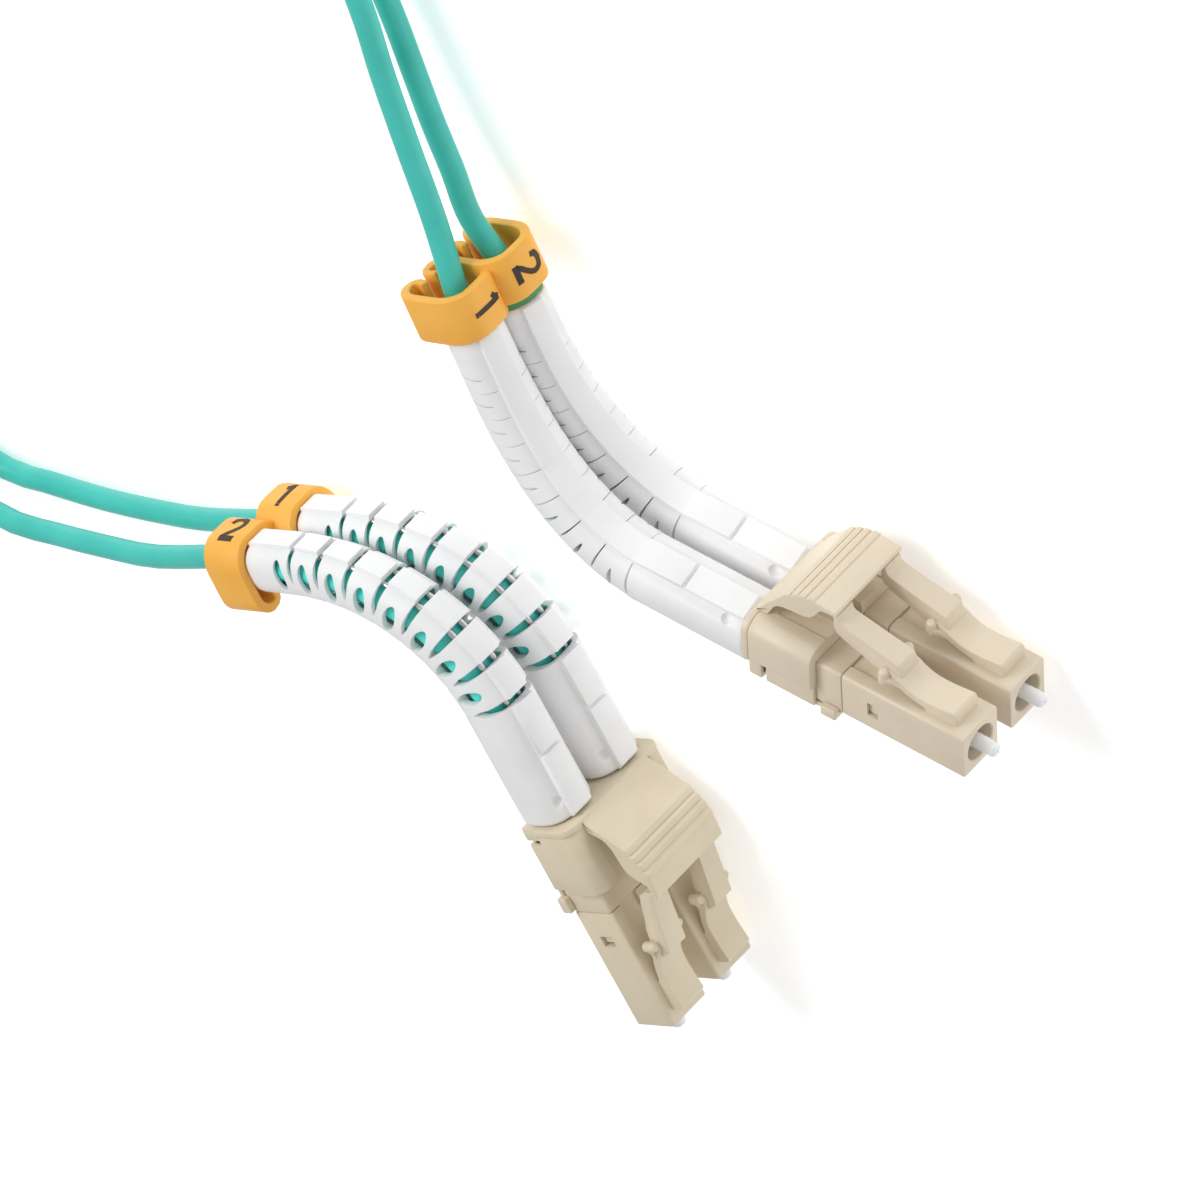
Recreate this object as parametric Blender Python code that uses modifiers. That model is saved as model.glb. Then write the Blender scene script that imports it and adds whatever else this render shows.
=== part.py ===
"""Duplex fibre optic patch cord with LC plugs on bendable boots.

Sizes are in millimetres in the plug's own frame: +X forward out of the plug, +Y towards its latch,
+Z up off the surface that the cord lies on. MM turns them into the scene's metres.
"""

import math

import bmesh
import bpy
from mathutils import Matrix, Vector

MM = 0.001

# Fit and stock
GAP = 0.08
PITCH = 6.25
CABLE_R = 1.0

# Plug housing
HOUSING_LENGTH = 11.75
HOUSING_SIDE = 4.5
HOUSING_ROUND = 0.35
BORE_R = 1.6
BORE_DEPTH = 3.4
SHOULDER = 0.8
SHOULDER_HOLE_R = 0.95
CAVITY_R = 1.7
WINDOW_LENGTH = 1.0
WINDOW_WIDTH = 1.45
WINDOW_BACK = 8.3
NOSE_BACK = 1.2
NOSE_HEIGHT = 1.35
HINGE_BACK = 4.35
PLATE_WIDTH = 2.9
PLATE_THICK = 0.7

# Latch arm
ARM_WIDTH = 2.2
ARM_BACK = 13.25
ARM_RISE = 4.4
LIP_HEIGHT = 5.0
EAR_SPAN = 4.1
EAR_BACK = 7.3
EAR_LENGTH = 1.2

# Rear body, crimp parts and cable end
BODY_SHOW = 2.3
BODY_NECK_SIDE = 3.9
BODY_LENGTH = 8.25
SPRING_ROOM_R = 1.5
SPRING_SEAT = 14.2
CRIMP_FLANGE = 0.6
POST_R = 1.0
POST_HOLE_R = 0.5
POST_BACK = 23.0
SLEEVE_R = 1.5
SLEEVE_LENGTH = 5.4

# Ferrule, flange and spring
FERRULE_R = 0.625
FERRULE_SHOW = 1.63
FERRULE_LENGTH = 8.1
FLANGE_R = 1.4
FLANGE_THICK = 1.3
FLANGE_TUBE_R = 0.95
FLANGE_LENGTH = 4.0
SPRING_R = 1.2
SPRING_WIRE_R = 0.14
SPRING_TURNS = 5.5

# Duplex clip
CLIP_FRONT = 14.2
CLIP_LENGTH = 6.65
CLIP_HALF_OVER = 3.1
CLIP_TOP = 3.6
CLIP_BASE_UNDER = 2.75
CLIP_BASE_HALF_OVER = 2.6
CLIP_CHAMFER = 0.7
LEVER_HALF_WIDTH = 4.42
LEVER_HINGE_BACK = 20.0
LEVER_FOOT = 0.88

# Bendable boot
BOOT_HALF_HEAD = 2.75
BOOT_HALF_TAIL = 2.3
RAIL_HALF = 1.05
RAIL_PROUD = 0.35
BOOT_BORE_R = 1.22
SLIT_COUNT = 16
SLIT_PITCH = 1.27
SLIT_WIDTH = 0.3
FLEX_START = 31.6
BOOT_TAIL = 3.2
SECTION_CORNER = 0.79
NECK_R = 1.7
NECK_LENGTH = 2.4
BEND_PIVOT = 2.6
WIRE_R = 0.3
WIRE_HALF_SPAN = 0.72
WIRE_HEIGHT = 1.75

# Number markers
MARKER_LENGTH = 4.6
MARKER_WALL = 0.75
MARKER_HALF_WIDTH = 2.85
MARKER_FACE = 3.3
MARKER_BACK = 3.7
MARKER_GAP = 1.1
BAND_LENGTH = 0.8

# Where the two ends lie
CLIP_CENTRE = CLIP_FRONT + CLIP_LENGTH / 2
LOW_Z = CLIP_HALF_OVER
HIGH_Z = LOW_Z + PITCH
ENDS = {
    "a": {"nose": (CLIP_CENTRE, 0.0), "turn": 0.0, "bend": 66.0, "power": 2.4, "high": 1},
    "b": {"nose": (-15.01, -53.99), "turn": -59.76, "bend": -97.0, "power": 0.9, "high": 2},
}

FLEX_LENGTH = SLIT_COUNT * SLIT_PITCH
BOOT_FRONT = CLIP_FRONT + CLIP_LENGTH + 0.1
HALF = HOUSING_SIDE / 2
NECK_START = FLEX_START + FLEX_LENGTH + BOOT_TAIL
BOOT_END = NECK_START + NECK_LENGTH

# The free legs: chosen points from the tail of a boot at end A to the coil, and from the coil to end B
LEG_A = {
    1: [(-36.7, 27.2, 7.0), (-40.1, 33.6, 5.8), (-44.4, 42.3, 4.8), (-49.3, 51.9, 4.0), (-53.1, 62.5, 3.7)],
    2: [(-36.6, 26.3, 3.4), (-39.9, 32.7, 2.75), (-43.9, 40.5, 2.1), (-48.9, 51.2, 1.7), (-53.1, 62.5, 1.65)],
}
LEG_B = {
    1: [(-105.9, 63.0, 5.7), (-106.1, 50.0, 3.9), (-106.6, 37.0, 1.7), (-107.8, 24.0, 1.06),
        (-109.3, 8.0, 1.06), (-110.5, -9.0, 1.06), (-110.6, -22.5, 1.06), (-107.2, -34.0, 1.06),
        (-99.8, -40.6, 1.3), (-91.1, -42.1, 1.65), (-83.5, -39.6, 2.05), (-75.9, -36.5, 2.4)],
    2: [(-105.9, 63.0, 7.8), (-106.3, 50.0, 6.3), (-107.6, 37.0, 3.9), (-109.9, 24.0, 1.6),
        (-111.7, 8.0, 1.06), (-113.0, -9.0, 1.06), (-113.3, -23.2, 1.3), (-109.4, -36.0, 2.3),
        (-99.6, -42.7, 4.6), (-86.8, -41.1, 6.8), (-80.3, -38.6, 7.3), (-73.9, -36.0, 7.8)],
}
ROUTE_STEP = 5.4

# The coil that takes up the rest, wound from two stacked legs in two layers
COIL_CENTRE = (-79.5, 64.0)
COIL_MEAN_R = 21.6
COIL_WRAPS = 3
COIL_LIFT = 0.6
LAYER = 2.05
TIE_THICK = 0.5
TIE_WIDTH = 6.0
TIE_ANGLE = 250.0

COLOURS = {
    "beige": ((0.80, 0.71, 0.58), 0.45, 0.0),
    "boot_white": ((0.90, 0.90, 0.91), 0.5, 0.0),
    "aqua": ((0.05, 0.62, 0.55), 0.4, 0.0),
    "marker_yellow": ((0.95, 0.50, 0.06), 0.45, 0.0),
    "band_green": ((0.07, 0.35, 0.12), 0.5, 0.0),
    "ceramic": ((0.92, 0.92, 0.90), 0.2, 0.0),
    "steel": ((0.72, 0.72, 0.72), 0.2, 1.0),
    "brass": ((0.78, 0.60, 0.30), 0.3, 1.0),
    "nickel": ((0.70, 0.68, 0.64), 0.3, 1.0),
    "tie_black": ((0.03, 0.03, 0.03), 0.8, 0.0),
}


# ---------------------------------------------------------------- scene helpers


def clear_scene():
    for obj in list(bpy.data.objects):
        bpy.data.objects.remove(obj)


def new_collection(name):
    collection = bpy.data.collections.new(name)
    bpy.context.scene.collection.children.link(collection)
    return collection


def make_material(name):
    colour, roughness, metallic = COLOURS[name]
    material = bpy.data.materials.new(name)
    material.use_nodes = True
    shader = material.node_tree.nodes["Principled BSDF"]
    shader.inputs["Base Color"].default_value = (*colour, 1.0)
    shader.inputs["Roughness"].default_value = roughness
    shader.inputs["Metallic"].default_value = metallic
    return material


def helper_object(name, data):
    """An object that only shapes others: it is drawn as wire and never rendered."""
    obj = bpy.data.objects.new(name, data)
    obj.hide_render = True
    obj.display_type = "WIRE"
    helpers.objects.link(obj)
    return obj


def mesh_from(bm, name):
    bmesh.ops.recalc_face_normals(bm, faces=bm.faces)
    mesh = bpy.data.meshes.new(name)
    bm.to_mesh(mesh)
    bm.free()
    return mesh


def evaluated_mesh(obj):
    """The object's mesh with its modifiers or bevel applied, as the object itself goes."""
    bpy.context.view_layer.update()
    graph = bpy.context.evaluated_depsgraph_get()
    mesh = bpy.data.meshes.new_from_object(obj.evaluated_get(graph))
    bm = bmesh.new()
    bm.from_mesh(mesh)
    bmesh.ops.remove_doubles(bm, verts=bm.verts, dist=1e-5)
    bm.to_mesh(mesh)
    bm.free()
    bpy.data.objects.remove(obj)
    return mesh


def box(name, low, high, rounding=0.0):
    bm = bmesh.new()
    bmesh.ops.create_cube(bm, size=1.0)
    size = [b - a for a, b in zip(low, high)]
    middle = [(a + b) / 2 for a, b in zip(low, high)]
    bmesh.ops.scale(bm, vec=size, verts=bm.verts)
    bmesh.ops.translate(bm, vec=middle, verts=bm.verts)
    if rounding:
        bmesh.ops.bevel(bm, geom=bm.edges[:], offset=rounding, segments=2, profile=0.5, affect="EDGES")
    return helper_object(name, mesh_from(bm, name))


def rod(name, radius, x_front, x_back, sides=16):
    """A cylinder along X."""
    bm = bmesh.new()
    bmesh.ops.create_cone(
        bm, cap_ends=True, segments=sides, radius1=radius, radius2=radius, depth=x_front - x_back
    )
    bmesh.ops.rotate(bm, matrix=Matrix.Rotation(math.pi / 2, 3, "Y"), verts=bm.verts)
    bmesh.ops.translate(bm, vec=((x_front + x_back) / 2, 0, 0), verts=bm.verts)
    return helper_object(name, mesh_from(bm, name))


def plate(name, outline, half_width, offset=0.0):
    """A flat outline in X and Y, given thickness along Z."""
    curve = bpy.data.curves.new(name, "CURVE")
    curve.dimensions = "2D"
    curve.fill_mode = "BOTH"
    curve.extrude = half_width
    spline = curve.splines.new("POLY")
    spline.points.add(len(outline) - 1)
    spline.use_cyclic_u = True
    for point, (x, y) in zip(spline.points, outline):
        point.co = (x, y, 0, 1)
    mesh = evaluated_mesh(helper_object(name + "_curve", curve))
    mesh.transform(Matrix.Translation((0, 0, offset)))
    bm = bmesh.new()
    bm.from_mesh(mesh)
    bpy.data.meshes.remove(mesh)
    return helper_object(name, mesh_from(bm, name))


def turned(name, profile, sides=16):
    """A solid of revolution about X from a profile of (x, radius); a closed ring where no radius is 0."""
    bm = bmesh.new()
    verts = [bm.verts.new((x, radius, 0)) for x, radius in profile]
    for first, second in zip(verts, verts[1:]):
        bm.edges.new((first, second))
    hollow = min(radius for _, radius in profile) > 0
    if hollow:
        bm.edges.new((verts[-1], verts[0]))
    mesh = bpy.data.meshes.new(name)
    bm.to_mesh(mesh)
    bm.free()
    obj = helper_object(name, mesh)
    screw = obj.modifiers.new("turn", "SCREW")
    screw.axis = "X"
    screw.steps = sides
    screw.render_steps = sides
    screw.use_merge_vertices = True
    screw.merge_threshold = 0.0001
    turned_mesh = evaluated_mesh(obj)
    bm = bmesh.new()
    bm.from_mesh(turned_mesh)
    bpy.data.meshes.remove(turned_mesh)
    return helper_object(name, mesh_from(bm, name))


def combine(obj, others, operation):
    for other in others:
        modifier = obj.modifiers.new(other.name, "BOOLEAN")
        modifier.operation = operation
        modifier.object = other
        modifier.solver = "EXACT"
    return obj


def finished_mesh(obj):
    """A shaped helper as a mesh in metres, shaded smooth except at its edges."""
    mesh = evaluated_mesh(obj)
    mesh.transform(Matrix.Scale(MM, 4))
    mesh.shade_smooth()
    mesh.set_sharp_from_angle(angle=math.radians(35))
    return mesh


def metres(point):
    return Vector(point) * MM


def add_part(name, mesh, material, parent=None, at=(0, 0, 0), turn=0.0):
    """A named part at a place in millimetres, with the mesh already in metres."""
    obj = bpy.data.objects.new(name, mesh.copy())
    obj.data.materials.append(materials[material])
    obj.location = metres(at)
    obj.rotation_euler = (0, 0, turn)
    obj.parent = parent
    parts.objects.link(obj)
    return obj


def add_tube(name, points, radius, material, parent=None, at=(0, 0, 0)):
    """A round wire or cable through the points, with filled ends."""
    curve = bpy.data.curves.new(name, "CURVE")
    curve.dimensions = "3D"
    curve.bevel_depth = radius * MM
    curve.bevel_resolution = 2
    curve.use_fill_caps = True
    spline = curve.splines.new("POLY")
    spline.points.add(len(points) - 1)
    for target, point in zip(spline.points, points):
        target.co = (*metres(point), 1)
    curve.materials.append(materials[material])
    obj = bpy.data.objects.new(name, curve)
    obj.location = metres(at)
    obj.parent = parent
    parts.objects.link(obj)
    return obj


# ---------------------------------------------------------------- the boot's bend


def bend_samples(end, count=160):
    """Points (s, x, y, angle) down the middle of the flexible stretch, s from its start."""
    total = math.radians(end["bend"])
    x, y = -FLEX_START, 0.0
    samples = [(0.0, x, y, 0.0)]
    step = FLEX_LENGTH / count
    for index in range(count):
        before = samples[-1][3]
        share = (index + 1) / count
        after = total * (1 - (1 - share) ** end["power"])
        # The slits open on the outer side, so the middle is longer by the pivot's distance.
        stretch = step + BEND_PIVOT * abs(after - before)
        middle = (before + after) / 2
        x -= math.cos(middle) * stretch
        y += math.sin(middle) * stretch
        samples.append(((index + 1) * step, x, y, after))
    return samples


def bent(end, back, height):
    """Where a point goes that lies `back` behind the nose and `height` towards the latch when straight."""
    s = back - FLEX_START
    samples = end["samples"]
    if s <= 0:
        return -back, height
    place = min(s, FLEX_LENGTH) / FLEX_LENGTH * (len(samples) - 1)
    index = min(int(place), len(samples) - 2)
    share = place - index
    x, y, angle = (samples[index][k] * (1 - share) + samples[index + 1][k] * share for k in (1, 2, 3))
    beyond = max(s - FLEX_LENGTH, 0.0)
    x -= math.cos(angle) * beyond
    y += math.sin(angle) * beyond
    return x + math.sin(angle) * height, y + math.cos(angle) * height


def to_world(end, x, y, z):
    turn = math.radians(end["turn"])
    nose_x, nose_y = end["nose"]
    return (
        nose_x + x * math.cos(turn) - y * math.sin(turn),
        nose_y + x * math.sin(turn) + y * math.cos(turn),
        z,
    )


# ---------------------------------------------------------------- plug pieces


def housing_mesh():
    body = box("housing", (-HOUSING_LENGTH, -HALF, -HALF), (0, HALF, HALF), HOUSING_ROUND)
    nose_top = HALF + NOSE_HEIGHT
    root_top = HALF + NOSE_HEIGHT - 0.25
    nose = plate(
        "nose_pad",
        [
            (-NOSE_BACK, HALF - 0.5),
            (-NOSE_BACK, nose_top - 0.35),
            (-NOSE_BACK - 0.35, nose_top),
            (-NOSE_BACK - 1.6, root_top + 0.05),
            (-HINGE_BACK + GAP / 2, root_top),
            (-HINGE_BACK + GAP / 2, HALF - 0.5),
        ],
        PLATE_WIDTH / 2,
    )
    combine(body, [nose], "UNION")
    shoulder_back = BORE_DEPTH + SHOULDER
    slot_z = SPRING_ROOM_R + 0.5
    cutters = [
        rod("front_bore", BORE_R, 1.0, -BORE_DEPTH, 20),
        rod("shoulder_hole", SHOULDER_HOLE_R, -BORE_DEPTH + 0.5, -shoulder_back - 0.5, 12),
        rod("cavity", CAVITY_R, -shoulder_back, -HOUSING_LENGTH - 1, 16),
        box(
            "tongue_slot",
            (-HOUSING_LENGTH - 1, -WINDOW_WIDTH / 2, -slot_z),
            (-WINDOW_BACK + 0.05, WINDOW_WIDTH / 2, slot_z),
        ),
        box(
            "window",
            (-WINDOW_BACK - WINDOW_LENGTH, -WINDOW_WIDTH / 2 + 0.03, -HALF - 1),
            (-WINDOW_BACK, WINDOW_WIDTH / 2 - 0.03, HALF + 1),
        ),
    ]
    combine(body, cutters, "DIFFERENCE")
    return finished_mesh(body)


def latch_mesh():
    """The sprung arm behind the living hinge, about the hinge line."""
    root_top = HALF + NOSE_HEIGHT - 0.25
    step_back = NOSE_BACK + 5.5
    front = -HINGE_BACK - GAP / 2
    arm = plate(
        "arm",
        [
            (-step_back, 4.05),
            (-step_back - 0.25, HALF + 3.1),
            (-ARM_BACK + 0.45, HALF + ARM_RISE),
            (-ARM_BACK + 0.4, HALF + LIP_HEIGHT),
            (-ARM_BACK, HALF + LIP_HEIGHT),
            (-ARM_BACK, HALF + 3.6),
            (-ARM_BACK + 0.35, HALF + 3.1),
            (-ARM_BACK + 1.1, HALF + 2.75),
            (-ARM_BACK + 3.9, HALF + 1.6),
            (-step_back - 0.6, HALF + 1.25),
        ],
        ARM_WIDTH / 2,
    )
    hinge_plate = plate(
        "hinge_plate",
        [
            (front, root_top - PLATE_THICK),
            (front, root_top),
            (-HINGE_BACK - 1.4, root_top + 0.22),
            (-step_back, root_top + 0.65),
            (-EAR_BACK - EAR_LENGTH, root_top + 1.1),
            (-EAR_BACK - EAR_LENGTH, root_top + 0.55),
            (-step_back - 0.5, root_top + 0.1),
        ],
        PLATE_WIDTH / 2,
    )
    ears = box(
        "ears",
        (-EAR_BACK - EAR_LENGTH, HALF + 1.75, -EAR_SPAN / 2),
        (-EAR_BACK, HALF + 2.75, EAR_SPAN / 2),
        0.25,
    )
    combine(arm, [hinge_plate, ears], "UNION")
    return finished_mesh(arm)


def rear_body_mesh():
    front = HOUSING_LENGTH + GAP
    show_back = front + BODY_SHOW
    back = front + BODY_LENGTH
    body = box("rear_body", (-show_back, -HALF, -HALF), (-front, HALF, HALF), 0.3)
    neck = BODY_NECK_SIDE / 2
    additions = [box("neck", (-back, -neck, -neck), (-show_back + 0.5, neck, neck))]
    for sign in (-1, 1):
        levels = sorted((sign * (SPRING_ROOM_R + 0.08), sign * (SPRING_ROOM_R + 0.4)))
        bump = sorted((sign * (SPRING_ROOM_R + 0.3), sign * (HALF - 0.12)))
        half_width = WINDOW_WIDTH / 2 - 0.1
        additions.append(
            box("tongue", (-front - 0.5, -half_width, levels[0]), (-WINDOW_BACK - 0.08, half_width, levels[1]))
        )
        additions.append(
            box(
                "catch",
                (-WINDOW_BACK - WINDOW_LENGTH + 0.1, -half_width, bump[0]),
                (-WINDOW_BACK - 0.15, half_width, bump[1]),
            )
        )
    combine(body, additions, "UNION")
    seat = SPRING_SEAT + CRIMP_FLANGE + GAP
    cutters = [
        rod("spring_room", SPRING_ROOM_R, -front + 1, -seat, 16),
        rod("post_hole", POST_R + GAP, -seat + 0.5, -back - 1, 16),
    ]
    combine(body, cutters, "DIFFERENCE")
    return finished_mesh(body)


def ferrule_mesh():
    front = FERRULE_SHOW
    back = FERRULE_SHOW - FERRULE_LENGTH
    r = FERRULE_R
    profile = [(front, 0), (front, r * 0.62), (front - 0.22, r), (back, r), (back, 0)]
    return finished_mesh(turned("ferrule", profile, 16))


def flange_mesh():
    front = -(BORE_DEPTH + SHOULDER + GAP)
    bore = FERRULE_R + 0.04
    profile = [
        (front, bore),
        (front, FLANGE_R - 0.3),
        (front - 0.3, FLANGE_R),
        (front - FLANGE_THICK, FLANGE_R),
        (front - FLANGE_THICK, FLANGE_TUBE_R),
        (front - FLANGE_LENGTH, FLANGE_TUBE_R),
        (front - FLANGE_LENGTH, bore),
    ]
    return finished_mesh(turned("flange", profile, 16))


def spring_points():
    front = BORE_DEPTH + SHOULDER + GAP + FLANGE_THICK + SPRING_WIRE_R + GAP
    back = SPRING_SEAT - SPRING_WIRE_R - GAP
    per_turn = 9
    count = int(SPRING_TURNS * per_turn)
    points = []
    for index in range(count + 1):
        share = index / count
        angle = 2 * math.pi * SPRING_TURNS * share
        x = -front - (back - front) * share
        points.append((x, SPRING_R * math.cos(angle), SPRING_R * math.sin(angle)))
    return points


def crimp_body_mesh():
    flange_back = SPRING_SEAT + CRIMP_FLANGE
    profile = [
        (-SPRING_SEAT, POST_HOLE_R),
        (-SPRING_SEAT, SPRING_ROOM_R - GAP),
        (-flange_back, SPRING_ROOM_R - GAP),
        (-flange_back, POST_R),
        (-POST_BACK, POST_R),
        (-POST_BACK, POST_HOLE_R),
    ]
    return finished_mesh(turned("crimp_body", profile, 16))


def sleeve_mesh():
    front = HOUSING_LENGTH + GAP + BODY_LENGTH + GAP
    back = front + SLEEVE_LENGTH
    inner = POST_R + GAP
    profile = [(-front, inner), (-front, SLEEVE_R), (-back, SLEEVE_R), (-back, inner)]
    return finished_mesh(turned("crimp_sleeve", profile, 16))


# ---------------------------------------------------------------- boot


def boot_section(half, rail):
    """Twelve outer points (y, z) round a softly squared section with a flat rail on the latch side."""
    flat = RAIL_HALF / BOOT_HALF_HEAD * half
    corner = half * SECTION_CORNER
    return [
        (half + rail, flat),
        (corner, corner),
        (flat, half),
        (-flat, half),
        (-corner, corner),
        (-half, flat),
        (-half, -flat),
        (-corner, -corner),
        (-flat, -half),
        (flat, -half),
        (corner, -corner),
        (half + rail, -flat),
    ]


def bore_section(radius, keel):
    """Eight inner points (y, z): a bore that widens towards the latch side for the wires."""
    side = WIRE_HALF_SPAN + WIRE_R + GAP
    lift = WIRE_HEIGHT + WIRE_R + GAP
    r = radius
    if not keel:
        return [(r * math.cos(a), r * math.sin(a)) for a in (math.pi * (k + 0.5) / 4 for k in range(8))]
    return [
        (lift, side),
        (r * 0.72, side * 1.02),
        (-r * 0.38, r * 0.92),
        (-r * 0.92, r * 0.38),
        (-r * 0.92, -r * 0.38),
        (-r * 0.38, -r * 0.92),
        (r * 0.72, -side * 1.02),
        (lift, -side),
    ]


def loft(name, sections):
    """A closed skin through sections of (x, [(y, z), ...]) that all have the same number of points."""
    bm = bmesh.new()
    rings = [[bm.verts.new((x, y, z)) for y, z in outline] for x, outline in sections]
    count = len(rings[0])
    for ring, following in zip(rings, rings[1:]):
        for k in range(count):
            bm.faces.new((ring[k], ring[(k + 1) % count], following[(k + 1) % count], following[k]))
    bm.faces.new(rings[0])
    bm.faces.new(rings[-1])
    return helper_object(name, mesh_from(bm, name))


def boot_slit_cutter():
    """Thin boxes: across the latch side and under it at every other slit, and on both flanks between."""
    bm = bmesh.new()
    reach = BOOT_HALF_HEAD + 1.0
    floor = BOOT_BORE_R * 0.55
    for index in range(SLIT_COUNT):
        x = -(FLEX_START + SLIT_PITCH * (index + 0.5))
        if index % 2 == 0:
            spans = [((floor, reach), (-reach, reach)), ((-reach, -floor * 1.6), (-reach, reach))]
        else:
            spans = [((-floor, floor), (floor, reach)), ((-floor, floor), (-reach, -floor))]
        for (y0, y1), (z0, z1) in spans:
            made = bmesh.ops.create_cube(bm, size=1.0)["verts"]
            bmesh.ops.scale(bm, vec=(SLIT_WIDTH, y1 - y0, z1 - z0), verts=made)
            bmesh.ops.translate(bm, vec=(x, (y0 + y1) / 2, (z0 + z1) / 2), verts=made)
    return helper_object("boot_slits", mesh_from(bm, "boot_slits"))


def straight_boot():
    """The whole boot before it is bent, along -X."""
    def half_at(back):
        share = min(max((back - FLEX_START) / FLEX_LENGTH, 0.0), 1.0)
        return BOOT_HALF_HEAD + (BOOT_HALF_TAIL - BOOT_HALF_HEAD) * share

    rail_end = FLEX_START + 0.5 * SLIT_PITCH
    outer_backs = [BOOT_FRONT, FLEX_START]
    outer_backs += [FLEX_START + SLIT_PITCH * k for k in range(1, SLIT_COUNT + 1)]
    sections = []
    for back in outer_backs:
        rail = RAIL_PROUD if back < rail_end else RAIL_PROUD * 0.4
        sections.append((-back, boot_section(half_at(back), rail)))
    sections.append((-NECK_START, boot_section(BOOT_HALF_TAIL, RAIL_PROUD * 0.4)))
    neck = [(y * NECK_R / BOOT_HALF_TAIL, z * NECK_R / BOOT_HALF_TAIL) for y, z in boot_section(BOOT_HALF_TAIL, 0)]
    sections.append((-NECK_START - 0.01, neck))
    sections.append((-BOOT_END, neck))
    boot = loft("boot_skin", sections)

    wire_front = FLEX_START - 5.0
    wire_back = FLEX_START + FLEX_LENGTH + 1.6
    bore_backs = [BOOT_FRONT - 1.0, wire_front, wire_front + 0.01, FLEX_START]
    bore_backs += [FLEX_START + SLIT_PITCH * k for k in range(1, SLIT_COUNT + 1)]
    bore_backs += [wire_back, wire_back + 0.01, BOOT_END + 1.0]
    bore = []
    for back in bore_backs:
        keel = wire_front < back <= wire_back
        radius = BOOT_BORE_R if back > wire_front else SLEEVE_R + 0.15
        bore.append((-back, bore_section(radius, keel)))
    combine(boot, [loft("boot_bore", bore), boot_slit_cutter()], "DIFFERENCE")
    return evaluated_mesh(boot)


def boot_mesh(straight, end):
    mesh = straight.copy()
    for vert in mesh.vertices:
        x, y = bent(end, -vert.co.x, vert.co.y)
        vert.co = (x, y, vert.co.z)
    mesh.transform(Matrix.Scale(MM, 4))
    mesh.shade_smooth()
    mesh.set_sharp_from_angle(angle=math.radians(35))
    return mesh


def bent_line(end, start, stop, height, z, step=1.7):
    count = max(2, round((stop - start) / step))
    backs = [start + (stop - start) * k / count for k in range(count + 1)]
    return [(*bent(end, back, height), z) for back in backs]


def wire_points(end):
    """One wire bent to a U: out along one leg, round inside the tail and back."""
    front = FLEX_START - 4.6
    back = FLEX_START + FLEX_LENGTH + 0.6
    leg = bent_line(end, front, back, WIRE_HEIGHT, WIRE_HALF_SPAN, 2.0)
    turn = []
    for k in range(1, 4):
        angle = math.pi * k / 4
        reach = back + WIRE_HALF_SPAN * math.sin(angle)
        turn.append((*bent(end, reach, WIRE_HEIGHT), WIRE_HALF_SPAN * math.cos(angle)))
    return leg + turn + [(x, y, -z) for x, y, z in reversed(leg)]


# ---------------------------------------------------------------- clip, lever and marker


def clip_body_mesh():
    half = PITCH / 2 + CLIP_HALF_OVER
    base_half = PITCH / 2 + CLIP_BASE_HALF_OVER
    front, back = CLIP_FRONT, CLIP_FRONT + CLIP_LENGTH
    split = -0.5

    def block(name, x_front, x_back, inset):
        wide, top = half - inset, CLIP_TOP - inset
        outline = [
            (split, -wide),
            (split, wide),
            (top - CLIP_CHAMFER, wide),
            (top, wide - CLIP_CHAMFER),
            (top, -wide + CLIP_CHAMFER),
            (top - CLIP_CHAMFER, -wide),
        ]
        return loft(name, [(-x_front, outline), (-x_back, outline)])

    body = block("clip_block", front, back - 1.1, 0.0)
    lip_half = PITCH / 2 + HALF + GAP + 0.45
    tab_back = HOUSING_LENGTH + 1.9
    additions = [
        block("clip_groove", back - 1.3, back - 0.5, 0.2),
        block("clip_rim", back - 0.75, back, 0.0),
        box("clip_base", (-back, -CLIP_BASE_UNDER, -base_half), (-front, split + 0.3, base_half)),
        box(
            "clip_floor",
            (-front - 1, -CLIP_BASE_UNDER, -base_half),
            (-HOUSING_LENGTH - 0.25, -HALF - GAP, base_half),
        ),
        box(
            "clip_tabs",
            (-tab_back, -CLIP_BASE_UNDER, -lip_half),
            (-HOUSING_LENGTH - 0.25, -HALF + 0.7, lip_half),
        ),
    ]
    combine(body, additions, "UNION")
    pocket = BODY_NECK_SIDE / 2 + GAP
    show = HALF + GAP
    cutters = []
    for sign in (-1, 1):
        z = sign * PITCH / 2
        cutters.append(box("pocket", (-back - 1, -pocket, z - pocket), (-front + 1, pocket, z + pocket)))
    tab_room = PITCH / 2 + show
    cutters.append(box("tab_room", (-front + 0.001, -show, -tab_room), (-HOUSING_LENGTH + 1, show, tab_room)))
    combine(body, cutters, "DIFFERENCE")
    return finished_mesh(body)


def lever_mesh():
    """The thumb lever: a bowed plate on a foot at the back of the clip."""
    foot_back = LEVER_HINGE_BACK + LEVER_FOOT / 2
    foot_front = LEVER_HINGE_BACK - LEVER_FOOT / 2
    foot = CLIP_TOP + GAP
    rest = HALF + LIP_HEIGHT + GAP
    tip = ARM_BACK - 0.45
    outline = [
        (-foot_back, foot),
        (-foot_front, foot),
        (-foot_front + 0.35, foot + 1.1),
        (-foot_front + 1.4, rest - 1.95),
        (-foot_front + 3.0, rest - 1.8),
        (-foot_front + 4.1, rest - 1.3),
        (-foot_front + 4.75, rest - 0.1),
        (-tip, rest + 0.02),
        (-tip, rest + 0.42),
        (-foot_front + 4.6, rest + 0.6),
        (-foot_front + 3.5, rest + 0.45),
        (-foot_front + 2.1, rest - 0.15),
        (-foot_front + 0.7, rest - 1.5),
        (-foot_front - 0.45, rest - 2.6),
        (-foot_back, foot + 0.45),
    ]
    return finished_mesh(plate("lever", outline, LEVER_HALF_WIDTH))


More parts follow.
